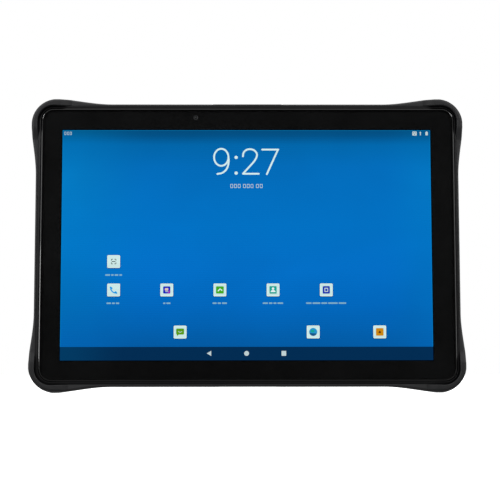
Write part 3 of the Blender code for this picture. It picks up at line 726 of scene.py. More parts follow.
def display_picture():
    """A blue wallpaper, darker along the top, with a dark bar along the bottom, a bright line
    round its edge and the faint horizontal lines of the panel. The panel round it is black."""
    mat = Material("display_picture")
    math_node = mat.math
    x, y, z = mat.axes()
    top, left = (PIC_Z + PIC_H + HALF_H) * MM, (PIC_X - PIC_W) * MM
    down = math_node("DIVIDE", math_node("SUBTRACT", top, z), 2 * PIC_H * MM)   # 0 at the top
    over = math_node("DIVIDE", math_node("SUBTRACT", x, left), 2 * PIC_W * MM)  # 0 at the left
    middle = mat.ramp(down, WALLPAPER_MIDDLE)
    edge = mat.ramp(down, WALLPAPER_EDGE)
    to_left = mat.span(over, over=(0.0, 0.26), to=(1.0, 0.0), smooth=True)
    to_right = mat.span(over, over=(0.86, 1.0), to=(0.0, 0.55), smooth=True)
    colour = mat.mix(math_node("ADD", to_left, to_right, clamp=True), middle, edge)
    glint = mat.mottle(14.0, over=(0.35, 0.7), to=(0.965, 1.04), detail=2.0, rough=0.5,
                       stretch=(1.0, 1.0, 1.4), distortion=0.6)
    colour = mat.mix(1.0, colour, glint, "MULTIPLY")
    swell = mat.mottle(60.0, to=(0.01, 0.045), detail=2.0, rough=0.5, stretch=(0.3, 1.0, 1.0))
    wave = math_node("SINE", math_node("MULTIPLY", z, PANEL_LINES))
    colour = mat.mix(1.0, colour, math_node("MULTIPLY_ADD", wave, swell, 1.0), "MULTIPLY")
    bar_top = (PIC_H - PIC_BAR) / (2 * PIC_H)
    bar_fade = mat.span(over, over=(0.0, 0.18), smooth=True)
    bar = mat.mix(bar_fade, lin((2, 57, 97)), lin((2, 44, 82)))
    colour = mat.mix(math_node("GREATER_THAN", down, bar_top), colour, bar)
    from_side = math_node("MINIMUM", math_node("SUBTRACT", over, 0.0),
                          math_node("SUBTRACT", 1.0, over))
    from_end = math_node("MINIMUM", down, math_node("SUBTRACT", 1.0, down))
    near = math_node("MINIMUM", math_node("MULTIPLY", from_side, 2 * PIC_W),
                     math_node("MULTIPLY", from_end, 2 * PIC_H))
    upper = math_node("LESS_THAN", down, bar_top)
    rim = math_node("MULTIPLY", math_node("LESS_THAN", near, RIM_WIDTH), upper)
    colour = mat.mix(math_node("MULTIPLY", rim, RIM_SHARE), colour, lin(RIM_COLOUR))
    front_face = math_node("LESS_THAN", y, -5.85 * MM)
    inside = math_node("MULTIPLY", math_node("GREATER_THAN", near, 0.0), front_face)
    black_low, black_high = (0.0002, 0.0002, 0.0003), (0.0005, 0.0005, 0.0006)
    return mat.shade({
        "Base Color": mat.mix(mat.noise(200.0), black_low, black_high),
        "Emission Color": mat.mix(inside, (0.0, 0.0, 0.0), colour),
        "Emission Strength": 1.06,
        "Roughness": mat.mottle(500.0, to=(0.5, 0.6)),
        "Specular IOR Level": 0.0,
    })


GLASS = cover_glass()
LENS = lens_glass()
SMOKE = smoked_window()
DISPLAY = display_picture()
FLASH_PLASTIC = flash_diffuser()
PCB = circuit_board()
FLEX = flex_cable()


# ======================================================================= swept sections
# A section is a list of corners (place, y, fillet), front lip first. A place is a function
# that gives the corner's (x, z) at a station.
def rim(inset):
    return lambda station: flared(station, inset)


def body_outline(half_w, radius=None):
    """Sizes of a body outline, concentric with the others unless it has its own radius."""
    own = half_w - CORE_X
    return (half_w, CORE_Z + own, own if radius is None else radius)


def wall(half_w, radius=None):
    return lambda station: onto(flared(station), *body_outline(half_w, radius))


def section_ring(station, section, steps=4):
    corners = []
    for place, y, fillet in section:
        x, z = place(station)
        corners.append(((x, y, z), fillet))
    return bend(corners, steps)


def all_round(quarter, mirror):
    """Closes a quarter into a loop; mirror(item, sx, sz) reflects one of its items."""
    back = quarter[::-1]
    return (quarter + [mirror(item, -1, 1) for item in back[1:]]
            + [mirror(item, -1, -1) for item in quarter[1:]]
            + [mirror(item, 1, -1) for item in back[1:-1]])


def mirror_ring(ring, sx, sz):
    return [(sx * x, y, sz * z) for x, y, z in ring]


def past_seam(station, seam):
    """How far a station lies on the corner's side of a seam."""
    part, place = station
    return {"side": place - seam[0], "top": place - seam[1]}.get(part, 99.0)


# ======================================================================= rubber edge guard
GUARD_SECTION = [
    (wall(123.1), -6.85, 0.28),
    (rim(1.05), -6.95, 0.9),
    (rim(0.2), -5.2, 1.6),
    (rim(0.0), -1.8, 2.0),
    (rim(0.0), 1.8, 1.0),
    (rim(0.1), 4.6, 1.8),
    (rim(0.55), 6.3, 0.8),
    (rim(1.9), 7.3, 0.5),
    (wall(119.5, 6.8), 7.3, 0.3),
    (wall(119.5, 6.8), 6.4, 0.1),
    (wall(122.3), 6.4, 0.1),
    (wall(122.3), -5.4, 0.1),
    (wall(123.1), -5.4, 0.1),
]
# The thin band of the guard that runs behind a corner bumper.
BAND_SECTION = [
    (wall(122.9), -5.25, 0.05),
    (wall(123.1), -5.25, 0.05),
    (wall(123.4), -5.1, 0.05),
    (wall(123.4), -1.8, 0.05),
    (wall(123.4), 1.8, 0.05),
    (wall(123.4), 4.6, 0.05),
    (wall(123.4), 6.3, 0.05),
    (wall(123.4), 7.1, 0.05),
    (wall(119.7, 6.9), 7.1, 0.1),
    (wall(119.7, 6.9), 6.55, 0.1),
    (wall(122.5), 6.55, 0.1),
    (wall(122.5), -5.0, 0.1),
    (wall(122.65), -5.2, 0.05),
]
GUARD_SEAM = tuple(place - SEAM_OVERLAP for place in SEAM)
GUARD_CUT = {"x": (121.0, MID_W), "z": (79.3, MID_H)}       # floor and surface of the openings


def guard_rings():
    """Quarter of the guard, side to top, with a step to the thin band at each seam."""
    rings = []
    for station in stations(seam=GUARD_SEAM):
        past = past_seam(station, GUARD_SEAM)
        if -0.4 < past < -1e-6:
            continue
        rings.append(section_ring(station, BAND_SECTION if past > 1e-6 else GUARD_SECTION))
    return rings


def guard_opening(axis, side, limits, lip=0.45, corner=1.6):
    """Cutter through a side (axis x) or end (axis z) of the guard, with a rounded mouth."""
    floor, surface = GUARD_CUT[axis]
    levels = mouth(floor, surface, lip, steps=4, beyond=4, widen=0.3)
    levels = [(side * height, inset) for height, inset in levels]
    return Solid().stack(between(*limits, corner, 6), levels, axis)


def key_limits(y0, y1, z, length, margin):
    reach = length / 2 + margin
    return (y0, y1, z - reach, z + reach)


guard = Solid().loft(all_round(guard_rings(), mirror_ring), wrap=True).make(
    "guard_band", RUBBER, slot="rubber", replaces="edge_guard")
carve(guard, [guard_opening("x", side, key_limits(-2.5, 2.7, z, length, 0.5))
              for z, length, side in KEYS.values()] + [
    guard_opening("x", 1, (-3.1, 5.9, -39.5, -3.5), lip=0.3, corner=1.0),
    guard_opening("z", 1, (-21.0, 21.0, -4.5, 5.7), lip=0.25, corner=1.4),
    Solid().prism(rounded(21.0, 2.0, 0.9, 4, 0.0, -5.9), 82.32, 84.5, axis="z"),
    guard_opening("z", -1, (-17.0, 17.0, -2.6, 4.2), lip=0.5, corner=1.4),
])


# ======================================================================= corner bumpers
def bumper_section(groove, rise, gape):
    """Section of a bumper with three grooves round it. From 0 to 1, rise lifts the front lip
    from the height of the guard and gape opens the gap at the front frame."""
    lift, gap = 1.85 * rise, 0.25 * gape
    section = [
        (wall(123.15 + gap), -6.6 - lift, 0.35),
        (wall(123.42 + gap), -6.95 - lift, 0.25),
        (rim(1.05 + 0.95 * rise), -6.95 - lift, 0.9),
        (rim(0.45 + 0.5 * rise), -6.2 - 1.5 * rise, 1.1),
        (rim(0.2 + 0.3 * rise), -5.2, 1.5),
    ]
    grooves = (                         # y, inset of the front edge, inset of the back edge
        (-3.1, 0.1 + 0.16 * rise, 0.03 + 0.09 * rise),
        (0.0, 0.02 * rise, 0.0),
        (3.1, 0.05 * rise, 0.04 + 0.12 * rise),
    )
    for y, front, back in grooves:
        section += [(rim(front), y - 0.75, 0.22), (rim(groove + front), y - 0.4, 0.2),
                    (rim(groove + back), y + 0.4, 0.2), (rim(back), y + 0.75, 0.22)]
    return section + [
        (rim(0.1 + 0.35 * rise), 5.3, 1.5),
        (rim(0.4 + 0.6 * rise), 7.8, 1.1),
        (rim(1.8 + 0.2 * rise), 8.8, 0.7),
        (wall(116.5, 9.0), 8.8, 0.4),
        (wall(116.5, 9.0), 7.6, 0.15),
        (wall(123.7), 7.6, 0.3),
    ]


def smoothstep(value):
    value = max(0.0, min(1.0, value))
    return value * value * (3 - 2 * value)


def end_rings(ring, part):
    """Rings that round off the end of a bumper, from the seam inwards."""
    rings = []
    for depth, inset in edge_start(0.0, SEAM_ROUND, 2):
        if part == "side":
            flat = shrink([(x, y) for x, y, z in ring], inset)
            rings.append([(a, b, z + depth) for (a, b), (x, y, z) in zip(flat, ring)])
        else:
            flat = shrink([(z, y) for x, y, z in ring], inset)
            rings.append([(x + depth, b, a) for (a, b), (x, y, z) in zip(flat, ring)])
    return rings


def bumper_rings():
    line = stations(flare_steps=34, arc_steps=34, seam=SEAM, low=SEAM)
    rings = []
    for station in line:
        gap = past_seam(station, SEAM)
        groove = 0.02 + 0.43 * smoothstep((gap - 1.2) / 2.6)
        section = bumper_section(groove, rise=smoothstep(gap / 8.0), gape=smoothstep(gap / 13.0))
        ring = section_ring(station, section, steps=3)
        if station is line[0]:
            rings += end_rings(ring, "side")
        elif station is line[-1]:
            rings += end_rings(ring, "top")[::-1]
        elif gap > 0.3:
            rings.append(ring)
    return rings


corner_rings = bumper_rings()
for sz, end in ((1, "top"), (-1, "bottom")):
    for sx, side in ((-1, "left"), (1, "right")):
        Solid().loft([mirror_ring(ring, sx, sz) for ring in corner_rings]).make(
            f"bumper_{end}_{side}", BUMPER, slot="bumper_rubber",
            replaces=f"corner_bumper_{end}_{side}")

# ======================================================================= front frame and glass
BODY_STATIONS = stations(side_step=14.0, top_step=16.0, flare_steps=5, arc_steps=30)


def body_loop(half_w, radius=None):
    """Points (x, z) of a body outline, all round."""
    place = wall(half_w, radius)
    quarter = [place(station) for station in BODY_STATIONS]
    return all_round(quarter, lambda point, sx, sz: (sx * point[0], sz * point[1]))


def body_ring(half_w, radius, y):
    return [(x, y, z) for x, z in body_loop(half_w, radius)]


def settled(x, z):
    """Shifts the glass opening a touch up and to the right; the frame's outer edge stays."""
    core_x, core_z = max(-CORE_X, min(CORE_X, x)), max(-CORE_Z, min(CORE_Z, z))
    share = max(0.0, min(1.0, 1.0 - (math.hypot(x - core_x, z - core_z) - 7.62) / 1.1))
    return (x + share * (0.33 + 0.33 * x / 121.3), z + share * (0.14 + 0.44 * z / 79.8))


def settle(solid):
    solid.points = [ALONG["y"](*settled(x, z), y) for x, y, z in solid.points]


def window(outer, half_w, half_h, radius, cz):
    """Opening about the picture's x with one point for each point of the outer outline."""
    return [onto(point, half_w, half_h, radius, PIC_X, cz) for point in outer]


FRAME_SECTION = [
    (wall(121.3), -7.15, 0.12),
    (wall(121.62), -7.24, 0.25),
    (wall(122.35), -7.0, 0.5),
    (wall(123.04), -6.86, 0.12),
    (wall(122.9), -5.7, 0.08),
    (wall(122.0), -5.6, 0.08),
    (wall(122.0), -2.8, 0.1),
    (wall(121.5), -2.8, 0.05),
    (wall(121.5), -4.0, 0.05),
    (wall(120.5), -4.0, 0.05),
    (wall(120.5), -2.8, 0.05),
    (wall(119.3), -2.8, 0.05),
    (wall(119.3), -5.7, 0.05),
    (wall(121.3), -5.7, 0.05),
]
bezel = Solid()
bezel.loft(all_round([section_ring(station, FRAME_SECTION, 3) for station in BODY_STATIONS],
                     mirror_ring), wrap=True)
settle(bezel)
bezel.make("bezel_ring", TRIM, slot="gloss_trim", replaces="front_frame")

plate_outer = body_loop(119.1)
plate_inner = window(plate_outer, LCD_W + 1.0, LCD_H + 1.0, 0.8, LCD_Z)
plate = Solid().band(plate_outer, plate_inner, -5.7, -2.8).make(
    "bezel_plate", BLACK, slot="gloss_trim")
carve(plate, [Solid().prism(rounded(3.9, 4.15, 0.6, 5, -30.3, 74.15), -9, 0)])

PANE_HALF_W = 121.0
PANE_LEVELS = [                         # y, inset
    (-7.6, 1.6), (-7.6, 0.86), (-7.594, 0.76), (-7.576, 0.66), (-7.544, 0.55), (-7.49, 0.43),
    (-7.27, 0.06), (-7.2, 0.0), (-6.32, 0.0), (-6.2, 0.12), (-6.2, 0.7),
]
pane = Solid().loft([body_ring(PANE_HALF_W - inset, None, y) for y, inset in PANE_LEVELS])
loop_count = len(body_loop(PANE_HALF_W))
for i in range(loop_count, (len(PANE_LEVELS) - 1) * loop_count):
    pane.slots[i] = 1                   # the ground edge is blackened
settle(pane)
pane.make("glass_pane", GLASS, EDGE_INK, slot="cover_glass", replaces="cover_glass", sharp=50)

ink_outer = body_loop(PANE_HALF_W - 0.25)
ink_inner = window(ink_outer, PIC_W + 0.35, PIC_H + 0.35, 0.3, PIC_Z)
ink_outer = [settled(x, z) for x, z in ink_outer]
ink = Solid().band(ink_outer, ink_inner, -6.19, -6.13).make("ink_border", INK, slot="cover_glass")
carve(ink, [Solid().prism(circle(1.42, 40, *FRONT_CAM), -7, -5)])

Solid().prism(rounded(LCD_W, LCD_H, 0.8, 5, PIC_X, LCD_Z), -5.9, -3.2, 0.12, 0.2).make(
    "lcd_panel", DISPLAY, slot="display", replaces="display_panel")

# ======================================================================= the picture's content
SCREEN_COLOURS = {
    "white": (238, 246, 250), "digit": (215, 240, 240), "tile": (208, 236, 234),
    "tile_edge": (232, 250, 244), "tile_shade": (0, 62, 118), "label": (130, 178, 202),
    "dark_grey": (62, 76, 72), "sky": (20, 158, 232), "deep_blue": (16, 34, 190),
    "purple": (150, 40, 190), "green": (66, 172, 30), "teal": (18, 166, 148),
    "navy": (20, 52, 176), "pale": (196, 212, 214), "lime": (90, 158, 14),
    "globe": (34, 150, 206), "globe_dark": (10, 84, 132), "orange": (208, 138, 8),
    "brown": (96, 48, 10), "peach": (228, 196, 186),
}
SCREEN_MATERIALS = [glow("screen_" + name, colour) for name, colour in SCREEN_COLOURS.items()]
COLOUR_SLOT = {name: i for i, name in enumerate(SCREEN_COLOURS)}


class Picture(Solid):
    """Flat lit shapes in front of the display, placed from the middle of the picture."""

    def depths(self, layer):
        y = PIC_FACE - LAYER_STEP * layer
        return y - LAYER_DEPTH, y

    def placed(self, outline, origin=(0.0, 0.0)):
        return [(PIC_X + origin[0] + x, PIC_Z + origin[1] + z) for x, z in outline]

    def shape(self, outline, colour, layer=1, origin=(0.0, 0.0)):
        self.prism(self.placed(outline, origin), *self.depths(layer), mat=COLOUR_SLOT[colour])

    def hollow(self, outer, inner, colour):
        self.band(self.placed(outer), self.placed(inner), *self.depths(1), COLOUR_SLOT[colour])

    def box(self, x, z, half_w, half_h, line):
        """Thin outlined box standing in for one character."""
        self.hollow(rounded(half_w, half_h, 0.3, 4, x, z),
                    rounded(half_w - line, half_h - line, 0.12, 4, x, z), "pale")

    def finish(self, name):
        self.make(name, *SCREEN_MATERIALS, slot="display", sharp=30, weighted=False)


def stroke(path, width, cap=5):
    """Outline of a line with round ends along an open path."""
    half = width / 2
    normals = []
    for i in range(len(path)):
        before, after = path[max(i - 1, 0)], path[min(i + 1, len(path) - 1)]
        along = (Vector(after) - Vector(before)).normalized()
        normals.append(Vector((-along.y, along.x)))
    left = [(p[0] + n.x * half, p[1] + n.y * half) for p, n in zip(path, normals)]
    right = [(p[0] - n.x * half, p[1] - n.y * half) for p, n in zip(path, normals)]

    def arc(centre, normal):
        start = math.atan2(normal.y, normal.x)
        angles = [start - math.pi * i / cap for i in range(1, cap)]
        return [(centre[0] + half * math.cos(t), centre[1] + half * math.sin(t)) for t in angles]

    return left + arc(path[-1], normals[-1]) + right[::-1] + arc(path[0], -normals[0])


def curve(points, steps=6):
    """Smooth path through points (Catmull-Rom)."""
    points = [Vector(p) for p in points]
    ends = [2 * points[0] - points[1]] + points + [2 * points[-1] - points[-2]]
    path = []
    for a, b, c, d in zip(ends, ends[1:], ends[2:], ends[3:]):
        for j in range(steps):
            t = j / steps
            path.append(tuple(0.5 * (2 * b + (c - a) * t + (2 * a - 5 * b + 4 * c - d) * t * t
                                     + (3 * b - a - 3 * c + d) * t ** 3)))
    path.append(tuple(points[-1]))
    return path


# Clock: nine, colon, two, seven, as (x, z) points.
DIGIT_LINE = 1.05
NINE_BOWL = (-14.892, 51.487, 4.228, 5.074)                 # middle, half sizes
NINE_TAIL = [(-10.572, 51.026), (-10.514, 49.241), (-10.864, 46.651), (-12.032, 44.118),
             (-14.192, 42.276), (-17.169, 41.585)]
COLON_X, COLON_Z = -6.135, (51.429, 42.104)
TWO_BOW = [(-2.165, 52.062), (-1.698, 54.365), (-0.005, 55.919), (2.097, 56.322),
           (4.315, 55.746), (5.891, 54.019), (6.008, 52.062), (4.665, 49.414), (1.980, 46.248),
           (-1.990, 41.931)]
TWO_FOOT = [(-2.107, 41.701), (7.176, 41.701)]
SEVEN_TOP = [(9.219, 56.092), (18.677, 56.092)]
SEVEN_LEG = [(18.502, 56.034), (11.905, 41.470)]


def clock():
    picture = Picture()
    x, z, rx, rz = NINE_BOWL
    half = DIGIT_LINE / 2
    picture.hollow(ellipse_path(x, z, rx + half, rz + half, 0, 360, 40)[:-1],
                   ellipse_path(x, z, rx - half, rz - half, 0, 360, 40)[:-1], "digit")
    picture.shape(stroke(curve(NINE_TAIL), DIGIT_LINE), "digit", 2)
    for z in COLON_Z:
        picture.shape(circle(0.98, 20, COLON_X, z), "digit")
    for path, layer in ((curve(TWO_BOW), 1), (TWO_FOOT, 2), (SEVEN_TOP, 1), (SEVEN_LEG, 2)):
        picture.shape(stroke(path, DIGIT_LINE), "digit", layer)
    picture.finish("screen_clock")


def date_bars():
    picture = Picture()
    for x in (-8.75, -6.55, -4.35, -1.25, 0.95, 3.15, 6.35, 8.6):
        picture.box(x, 34.44, 0.8, 1.15, 0.3)
    picture.finish("screen_date_bars")


def status_icons():
    """Three boxes at the left; a dotted square, an arrow and a battery at the right."""
    picture = Picture()
    for x in (-106.75, -105.1, -103.55):
        picture.box(x, 65.75, 0.55, 0.95, 0.24)
    x, z = 99.16, 65.7
    picture.shape(rounded(1.3, 1.22, 0.22, 3, x, z), "pale")
    for dx, dz in ((-0.55, 0.44), (0.5, 0.44), (0.0, -0.48)):
        picture.shape(rounded(0.26, 0.24, 0.1, 2, x + dx, z + dz), "globe_dark", 2)
    picture.shape([(102.62, 66.95), (101.95, 66.05), (102.32, 66.05), (102.32, 64.6),
                   (102.92, 64.6), (102.92, 66.05), (103.29, 66.05)], "pale")
    picture.shape(rounded(0.74, 1.0, 0.2, 3, 106.3, 65.6), "pale")
    picture.shape(rounded(0.36, 0.2, 0.1, 2, 106.3, 66.75), "pale")
    picture.finish("screen_status_icons")


TILES = [                               # middles (x, z)
    (-77.65, -10.08), (-77.53, -26.72), (-46.58, -26.72), (-15.61, -26.72), (15.39, -26.72),
    (46.43, -26.72), (-38.7, -51.22), (38.67, -51.22), (77.39, -51.22),
]
# Marks on the tiles: outline from the tile's middle, colour, layer.
SCAN_BRACKETS = [
    (stroke([(sx * 1.35, sz * 0.62), (sx * 1.35, sz * 1.35), (sx * 0.6, sz * 1.35)], 0.42),
     "dark_grey", 3) for sx in (-1, 1) for sz in (-1, 1)]
HANDSET = curve([(-1.75, 1.1), (-1.35, -0.15), (-0.1, -1.4), (1.25, -1.75)])
MARKS = [
    SCAN_BRACKETS + [(stroke([(-0.85, 0), (0.85, 0)], 0.5), "dark_grey", 3)],
    [(stroke(HANDSET, 0.72), "sky", 3),
     (stroke([(-1.85, 1.55), (-1.05, 1.0)], 0.95), "sky", 4),
     (stroke([(1.7, -1.85), (1.1, -1.1)], 0.95), "sky", 4)],
    [(rounded(2.1, 2.1, 0.5, 4), "deep_blue", 3),
     ([(0.1, -2.05), (2.05, -2.05), (2.05, 0.3)], "purple", 4),
     (rounded(1.0, 0.75, 0.3, 3, -0.1, 0.35), "peach", 5),
     (stroke([(-0.7, -0.95), (0.8, -0.95)], 0.42), "pale", 5)],
    [(rounded(2.25, 2.1, 0.4, 4), "green", 3),
     (stroke([(-1.0, -0.55), (0.1, 0.62), (1.1, -0.2)], 0.62), "white", 4)],
    [(rounded(2.1, 2.2, 0.35, 4), "teal", 3),               # head and shoulders
     (circle(0.72, 20, 0.0, 0.75), "white", 4),
     (ellipse_path(0.0, -1.25, 1.45, 1.2, 0, 180, 14), "white", 4)],
    [(rounded(2.1, 2.2, 0.55, 4), "navy", 3),
     (rounded(1.1, 1.2, 0.3, 4), "pale", 4),
     (rounded(0.62, 0.7, 0.2, 4), "navy", 5)],
    [(rounded(2.3, 1.75, 0.55, 4, 0.0, 0.3), "lime", 3),    # speech bubble
     ([(-1.9, -1.0), (-0.4, -1.1), (-1.75, -2.35)], "lime", 4),
     (stroke(curve([(-1.0, 0.35), (0.0, -0.15), (1.0, 0.35)]), 0.34), "pale", 5)],
    [(circle(2.35, 36), "globe", 3),
     (ellipse_path(0.0, 0.0, 2.3, 2.3, 195, 335, 20), "globe_dark", 4),
     (ellipse_path(-0.4, 0.5, 1.1, 0.75, 0, 345, 20), "teal", 5)],
    [(rounded(2.2, 2.2, 0.45, 4), "orange", 3),
     ([(-0.75, -0.75), (0.75, -0.75), (0.55, 0.2), (0.0, 0.85), (-0.55, 0.2)], "brown", 4)],
]
LABELS = (                              # middle of a label (x, z), widths of its bars
    (-77.6, -17.95, (2.9, 1.5, 2.2, 1.6)), (-77.9, -34.45, (2.6, 1.7, 2.0)),
    (-46.5, -34.45, (1.3, 2.4)), (-15.7, -34.45, (2.4, 2.0, 2.9)),
    (15.3, -34.45, (3.0, 2.1, 1.8, 3.3)), (46.3, -34.45, (3.2, 4.6, 3.4, 5.6, 4.4)),
)
LABEL_GAP = 0.55


def tiles():
    picture = Picture()
    for x, z in TILES:
        picture.shape(rounded(3.95, 3.98, 0.9, 4, x, z - 0.12), "tile_shade", 0)
        picture.shape(rounded(3.74, 3.74, 0.65, 4, x, z), "tile_edge", 1)
        picture.shape(rounded(3.45, 3.45, 0.5, 4, x, z), "tile", 2)
    picture.finish("screen_tiles")


def tile_marks():
    picture = Picture()
    for origin, marks in zip(TILES, MARKS):
        for outline, colour, layer in marks:
            picture.shape(outline, colour, layer, origin)
    picture.finish("screen_marks")


def label_bars():
    picture = Picture()
    for middle, z, widths in LABELS:
        x = middle - (sum(widths) + LABEL_GAP * (len(widths) - 1)) / 2
        for width in widths:
            picture.shape(rounded(width / 2, 0.45, 0.3, 3, x + width / 2, z), "label")
            x += width + LABEL_GAP
    picture.finish("screen_label_bars")


def navigation_marks():
    """Triangle, disc and square in the bottom bar."""
    picture = Picture()
    z = -63.6
    picture.shape([(-23.2, z), (-20.6, z + 1.5), (-20.6, z - 1.5)], "pale")
    picture.shape(circle(1.42, 28, -0.07, z), "pale")
    picture.shape(rounded(1.36, 1.42, 0.2, 3, 21.55, z), "pale")
    picture.finish("screen_navigation_marks")


clock()
date_bars()
status_icons()
tiles()
tile_marks()
label_bars()
navigation_marks()

# ======================================================================= front camera
front_camera = Solid()
front_camera.prism(rounded(3.0, 2.8, 0.4, 4, FRONT_CAM[0], 74.6), -5.2, -1.4, 0.1, 0.1)
front_camera.turned(FRONT_CAM, [
    (1.85, -5.05), (1.85, -5.75), (1.8, -5.83), (1.7, -5.87), (1.4, -5.9), (1.14, -5.9),
    (1.04, -5.86), (0.95, -5.7), (0.9, -5.3)], 40, mat=1)
front_camera.turned(FRONT_CAM, [
    (0.88, -5.2), (0.88, -5.55), (0.8, -5.66), (0.62, -5.75), (0.4, -5.8), (0.15, -5.82)],
    40, mat=2)
front_camera.make("front_camera_module", BLACK, RING_PAINT, CAMERA_LENS, slot="black_plastic",
                  replaces="front_camera")

# ======================================================================= rear housing
SHELL_LEVELS = [                        # half width, corner radius, y; from the inside round
    (116.5, 4.2, 5.5), (117.9, 5.0, 5.5), (117.9, 5.0, 4.6), (120.3, 6.4, 4.6),
    (120.3, 6.4, -2.5), (121.85, 7.85, -2.5), (122.0, 8.0, -2.35), (122.0, 8.0, 5.9),
    (121.9, 7.9, 6.05), (121.75, 7.75, 6.1), (119.25, 6.55, 6.1), (119.2, 6.5, 6.2),
]
SHELL_LEVELS += [(119.2 - inset, 6.5 - inset, y) for y, inset in edge_end(BACK_Y, 0.5, 4)]
SHELL_LEVELS.append((117.9, 5.2, BACK_Y))
back_shell = Solid().loft([body_ring(*level) for level in SHELL_LEVELS]).make(
    "back_shell", HOUSING, PANEL, BLACK, slot="housing", replaces="rear_housing")

SCREW_HOLE = [(1.25, 4.5), (1.25, 6.2), (2.5, 6.2), (2.5, 7.02), (2.56, 7.16), (2.68, 7.26),
              (2.85, BACK_Y), (3.0, 9)]
CAMERA_HOLE = [(6.5, 4), (6.5, 7.05), (6.58, 7.2), (6.75, BACK_Y), (6.9, 9)]
FLASH_HOLE = [(2.3, 4), (2.3, 7.1), (2.36, 7.22), (2.5, BACK_Y), (2.6, 9)]
SPEAKER_SLOT = [(4.0, 0.0), (7.08, 0.0), (7.2, -0.07), (BACK_Y, -0.2), (9.0, -0.3)]
SPEAKER_SLOT_PITCH = 3.4
RIB_X, RIB_PITCH = 112.4, 3.6           # upright grooves near both sides of the back


def back_recess(outline, depth, lip, mat=0):
    """Cutter for a recess in the back face, with a rounded mouth."""
    levels = mouth(BACK_Y - depth, BACK_Y, lip, steps=3, beyond=2, widen=0.2)
    return Solid().stack(outline, levels, mat=mat)


def shell_side_cut(side, limits):
    low, high = sorted((side * 118.0, side * 124.0))
    return Solid().prism(between(*limits, 0.9, 5), low, high, axis="x")


def shell_cutters():
    cutters = [Solid().turned(place, SCREW_HOLE, 40) for place in SCREWS]
    cutters.append(Solid().turned(REAR_CAM, CAMERA_HOLE, 64))
    cutters.append(Solid().turned(FLASH, FLASH_HOLE, 40))
    for side in (-1, 1):
        for j in range(5):
            z = SPEAKER_Z + (j - 2) * SPEAKER_SLOT_PITCH
            slot_line = rounded(7.0, 0.8, 0.78, 6, side * SPEAKER_X, z)
            cutters.append(Solid().stack(slot_line, SPEAKER_SLOT))
    cutters.append(back_recess(rounded(31.0, 11.0, 2.0, 6, 0.0, -46.0), 0.35, 0.25, mat=1))
    for side in (-1, 1):
        for j in range(9):
            groove = rounded(0.9, 26.0, 0.88, 5, side * (RIB_X - RIB_PITCH * j), 0.0)
            cutters.append(back_recess(groove, 0.45, 0.2))
    for z, length, side in KEYS.values():
        cutters.append(shell_side_cut(side, key_limits(-2.2, 2.4, z, length, 0.3)))
    return cutters + [
        shell_side_cut(1, (-0.6, 1.4, -37.5, -25.5)),       # memory card
        shell_side_cut(1, (-1.2, 2.6, -17.8, -8.2)),        # USB
        Solid().prism(circle(2.6, 32, AUDIO_Y, AUDIO_Z), 118.0, 124.0, axis="x"),
        Solid().prism(rounded(19.2, 2.4, 0.8, 4, 0.0, SCAN_WINDOW_Y), 77, 84, axis="z"),
        Solid().prism(rounded(15.3, 2.3, 0.8, 4, 0.0, DOCK_Y), -84, -77, axis="z"),
    ]


def pin_hole():
    return Solid().prism(circle(0.62, 24, HINGE_X, HINGE_Y), -41, -2, axis="z")


carve(back_shell, shell_cutters())

lug_outline = ellipse_path(123.3, 4.25, 0.85, 0.95, -90, 90, 12) + [(122.02, 5.2), (122.02, 3.3)]
lugs = Solid()
for low, high in ((-39.2, -38.2), (-4.8, -3.8)):
    lugs.prism(lug_outline, low, high, 0.12, 0.12, axis="z")
carve(lugs.make("door_hinge_lugs", HOUSING, slot="housing"), [pin_hole()])

# ======================================================================= screws
SCREW_PROFILE = [(0.8, 0.8), (0.95, 1.0), (0.95, 6.36), (2.1, 6.4), (2.2, 6.5), (2.2, 6.86),
                 (2.14, 7.02), (1.98, 7.12), (1.8, 7.15)]
HEX_SOCKET = ((0.9, 6.05), (1.0, 6.12), (1.0, 7.05), (1.16, 7.3), (1.3, 8.0))
first_screw = Solid().turned((0, 0), SCREW_PROFILE, 40).make(
    "screw_head_1", SCREW, slot="screw_steel", replaces="rear_screw_1")
carve(first_screw, [Solid().loft([[(x, y, z) for x, z in circle(radius, 6, phase=0.5)]
                                  for radius, y in HEX_SOCKET])])
screw_mesh = first_screw.data.copy()
for i, (x, z) in enumerate(SCREWS):
    screw = first_screw
    if i > 0:
        screw = link_object(f"screw_head_{i + 1}", screw_mesh.copy())
        weighted_normals(screw)
    to_place = Matrix.Translation(Vector((x, 0.0, z + HALF_H)) * MM)
    to_origin = Matrix.Translation(Vector((0, 0, -HALF_H)) * MM)
    screw.data.transform(to_place @ Matrix.Rotation(0.35 * i, 4, "Y") @ to_origin)
    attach(screw, "tablet")
    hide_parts(f"rear_screw_{i + 1}")

# ======================================================================= rear camera and flash
Solid().turned(REAR_CAM, [
    (3.5, 5.85), (6.1, 5.8), (6.2, 5.9), (6.2, 7.45), (6.12, 7.75), (5.95, 7.92), (5.7, 8.0),
    (5.35, 8.0), (5.15, 7.93), (4.75, 7.72), (4.62, 7.62), (4.6, 7.5), (4.6, 6.9), (3.55, 6.9),
    (3.5, 6.85)], 72, wrap=True).make(
    "rear_camera_ring", RING_METAL, slot="steel", replaces="rear_camera_bezel")
Solid().turned(REAR_CAM, [
    (3.8, 6.98), (4.35, 7.0), (4.4, 7.06), (4.4, 7.5), (4.3, 7.62), (4.0, 7.68), (3.2, 7.7)],
    64).make("rear_camera_glass", LENS, slot="lens_glass", replaces="rear_camera_lens")
rear_camera = Solid()
rear_camera.prism(rounded(4.5, 4.5, 0.5, 4, *REAR_CAM), 0.2, 5.3, 0.15, 0.15)
rear_camera.turned(REAR_CAM, [
    (3.2, 5.2), (3.2, 6.6), (3.12, 6.72), (2.9, 6.78), (2.55, 6.78), (2.4, 6.6), (2.2, 6.1),
    (1.9, 5.95), (1.7, 5.7), (1.35, 5.6)])
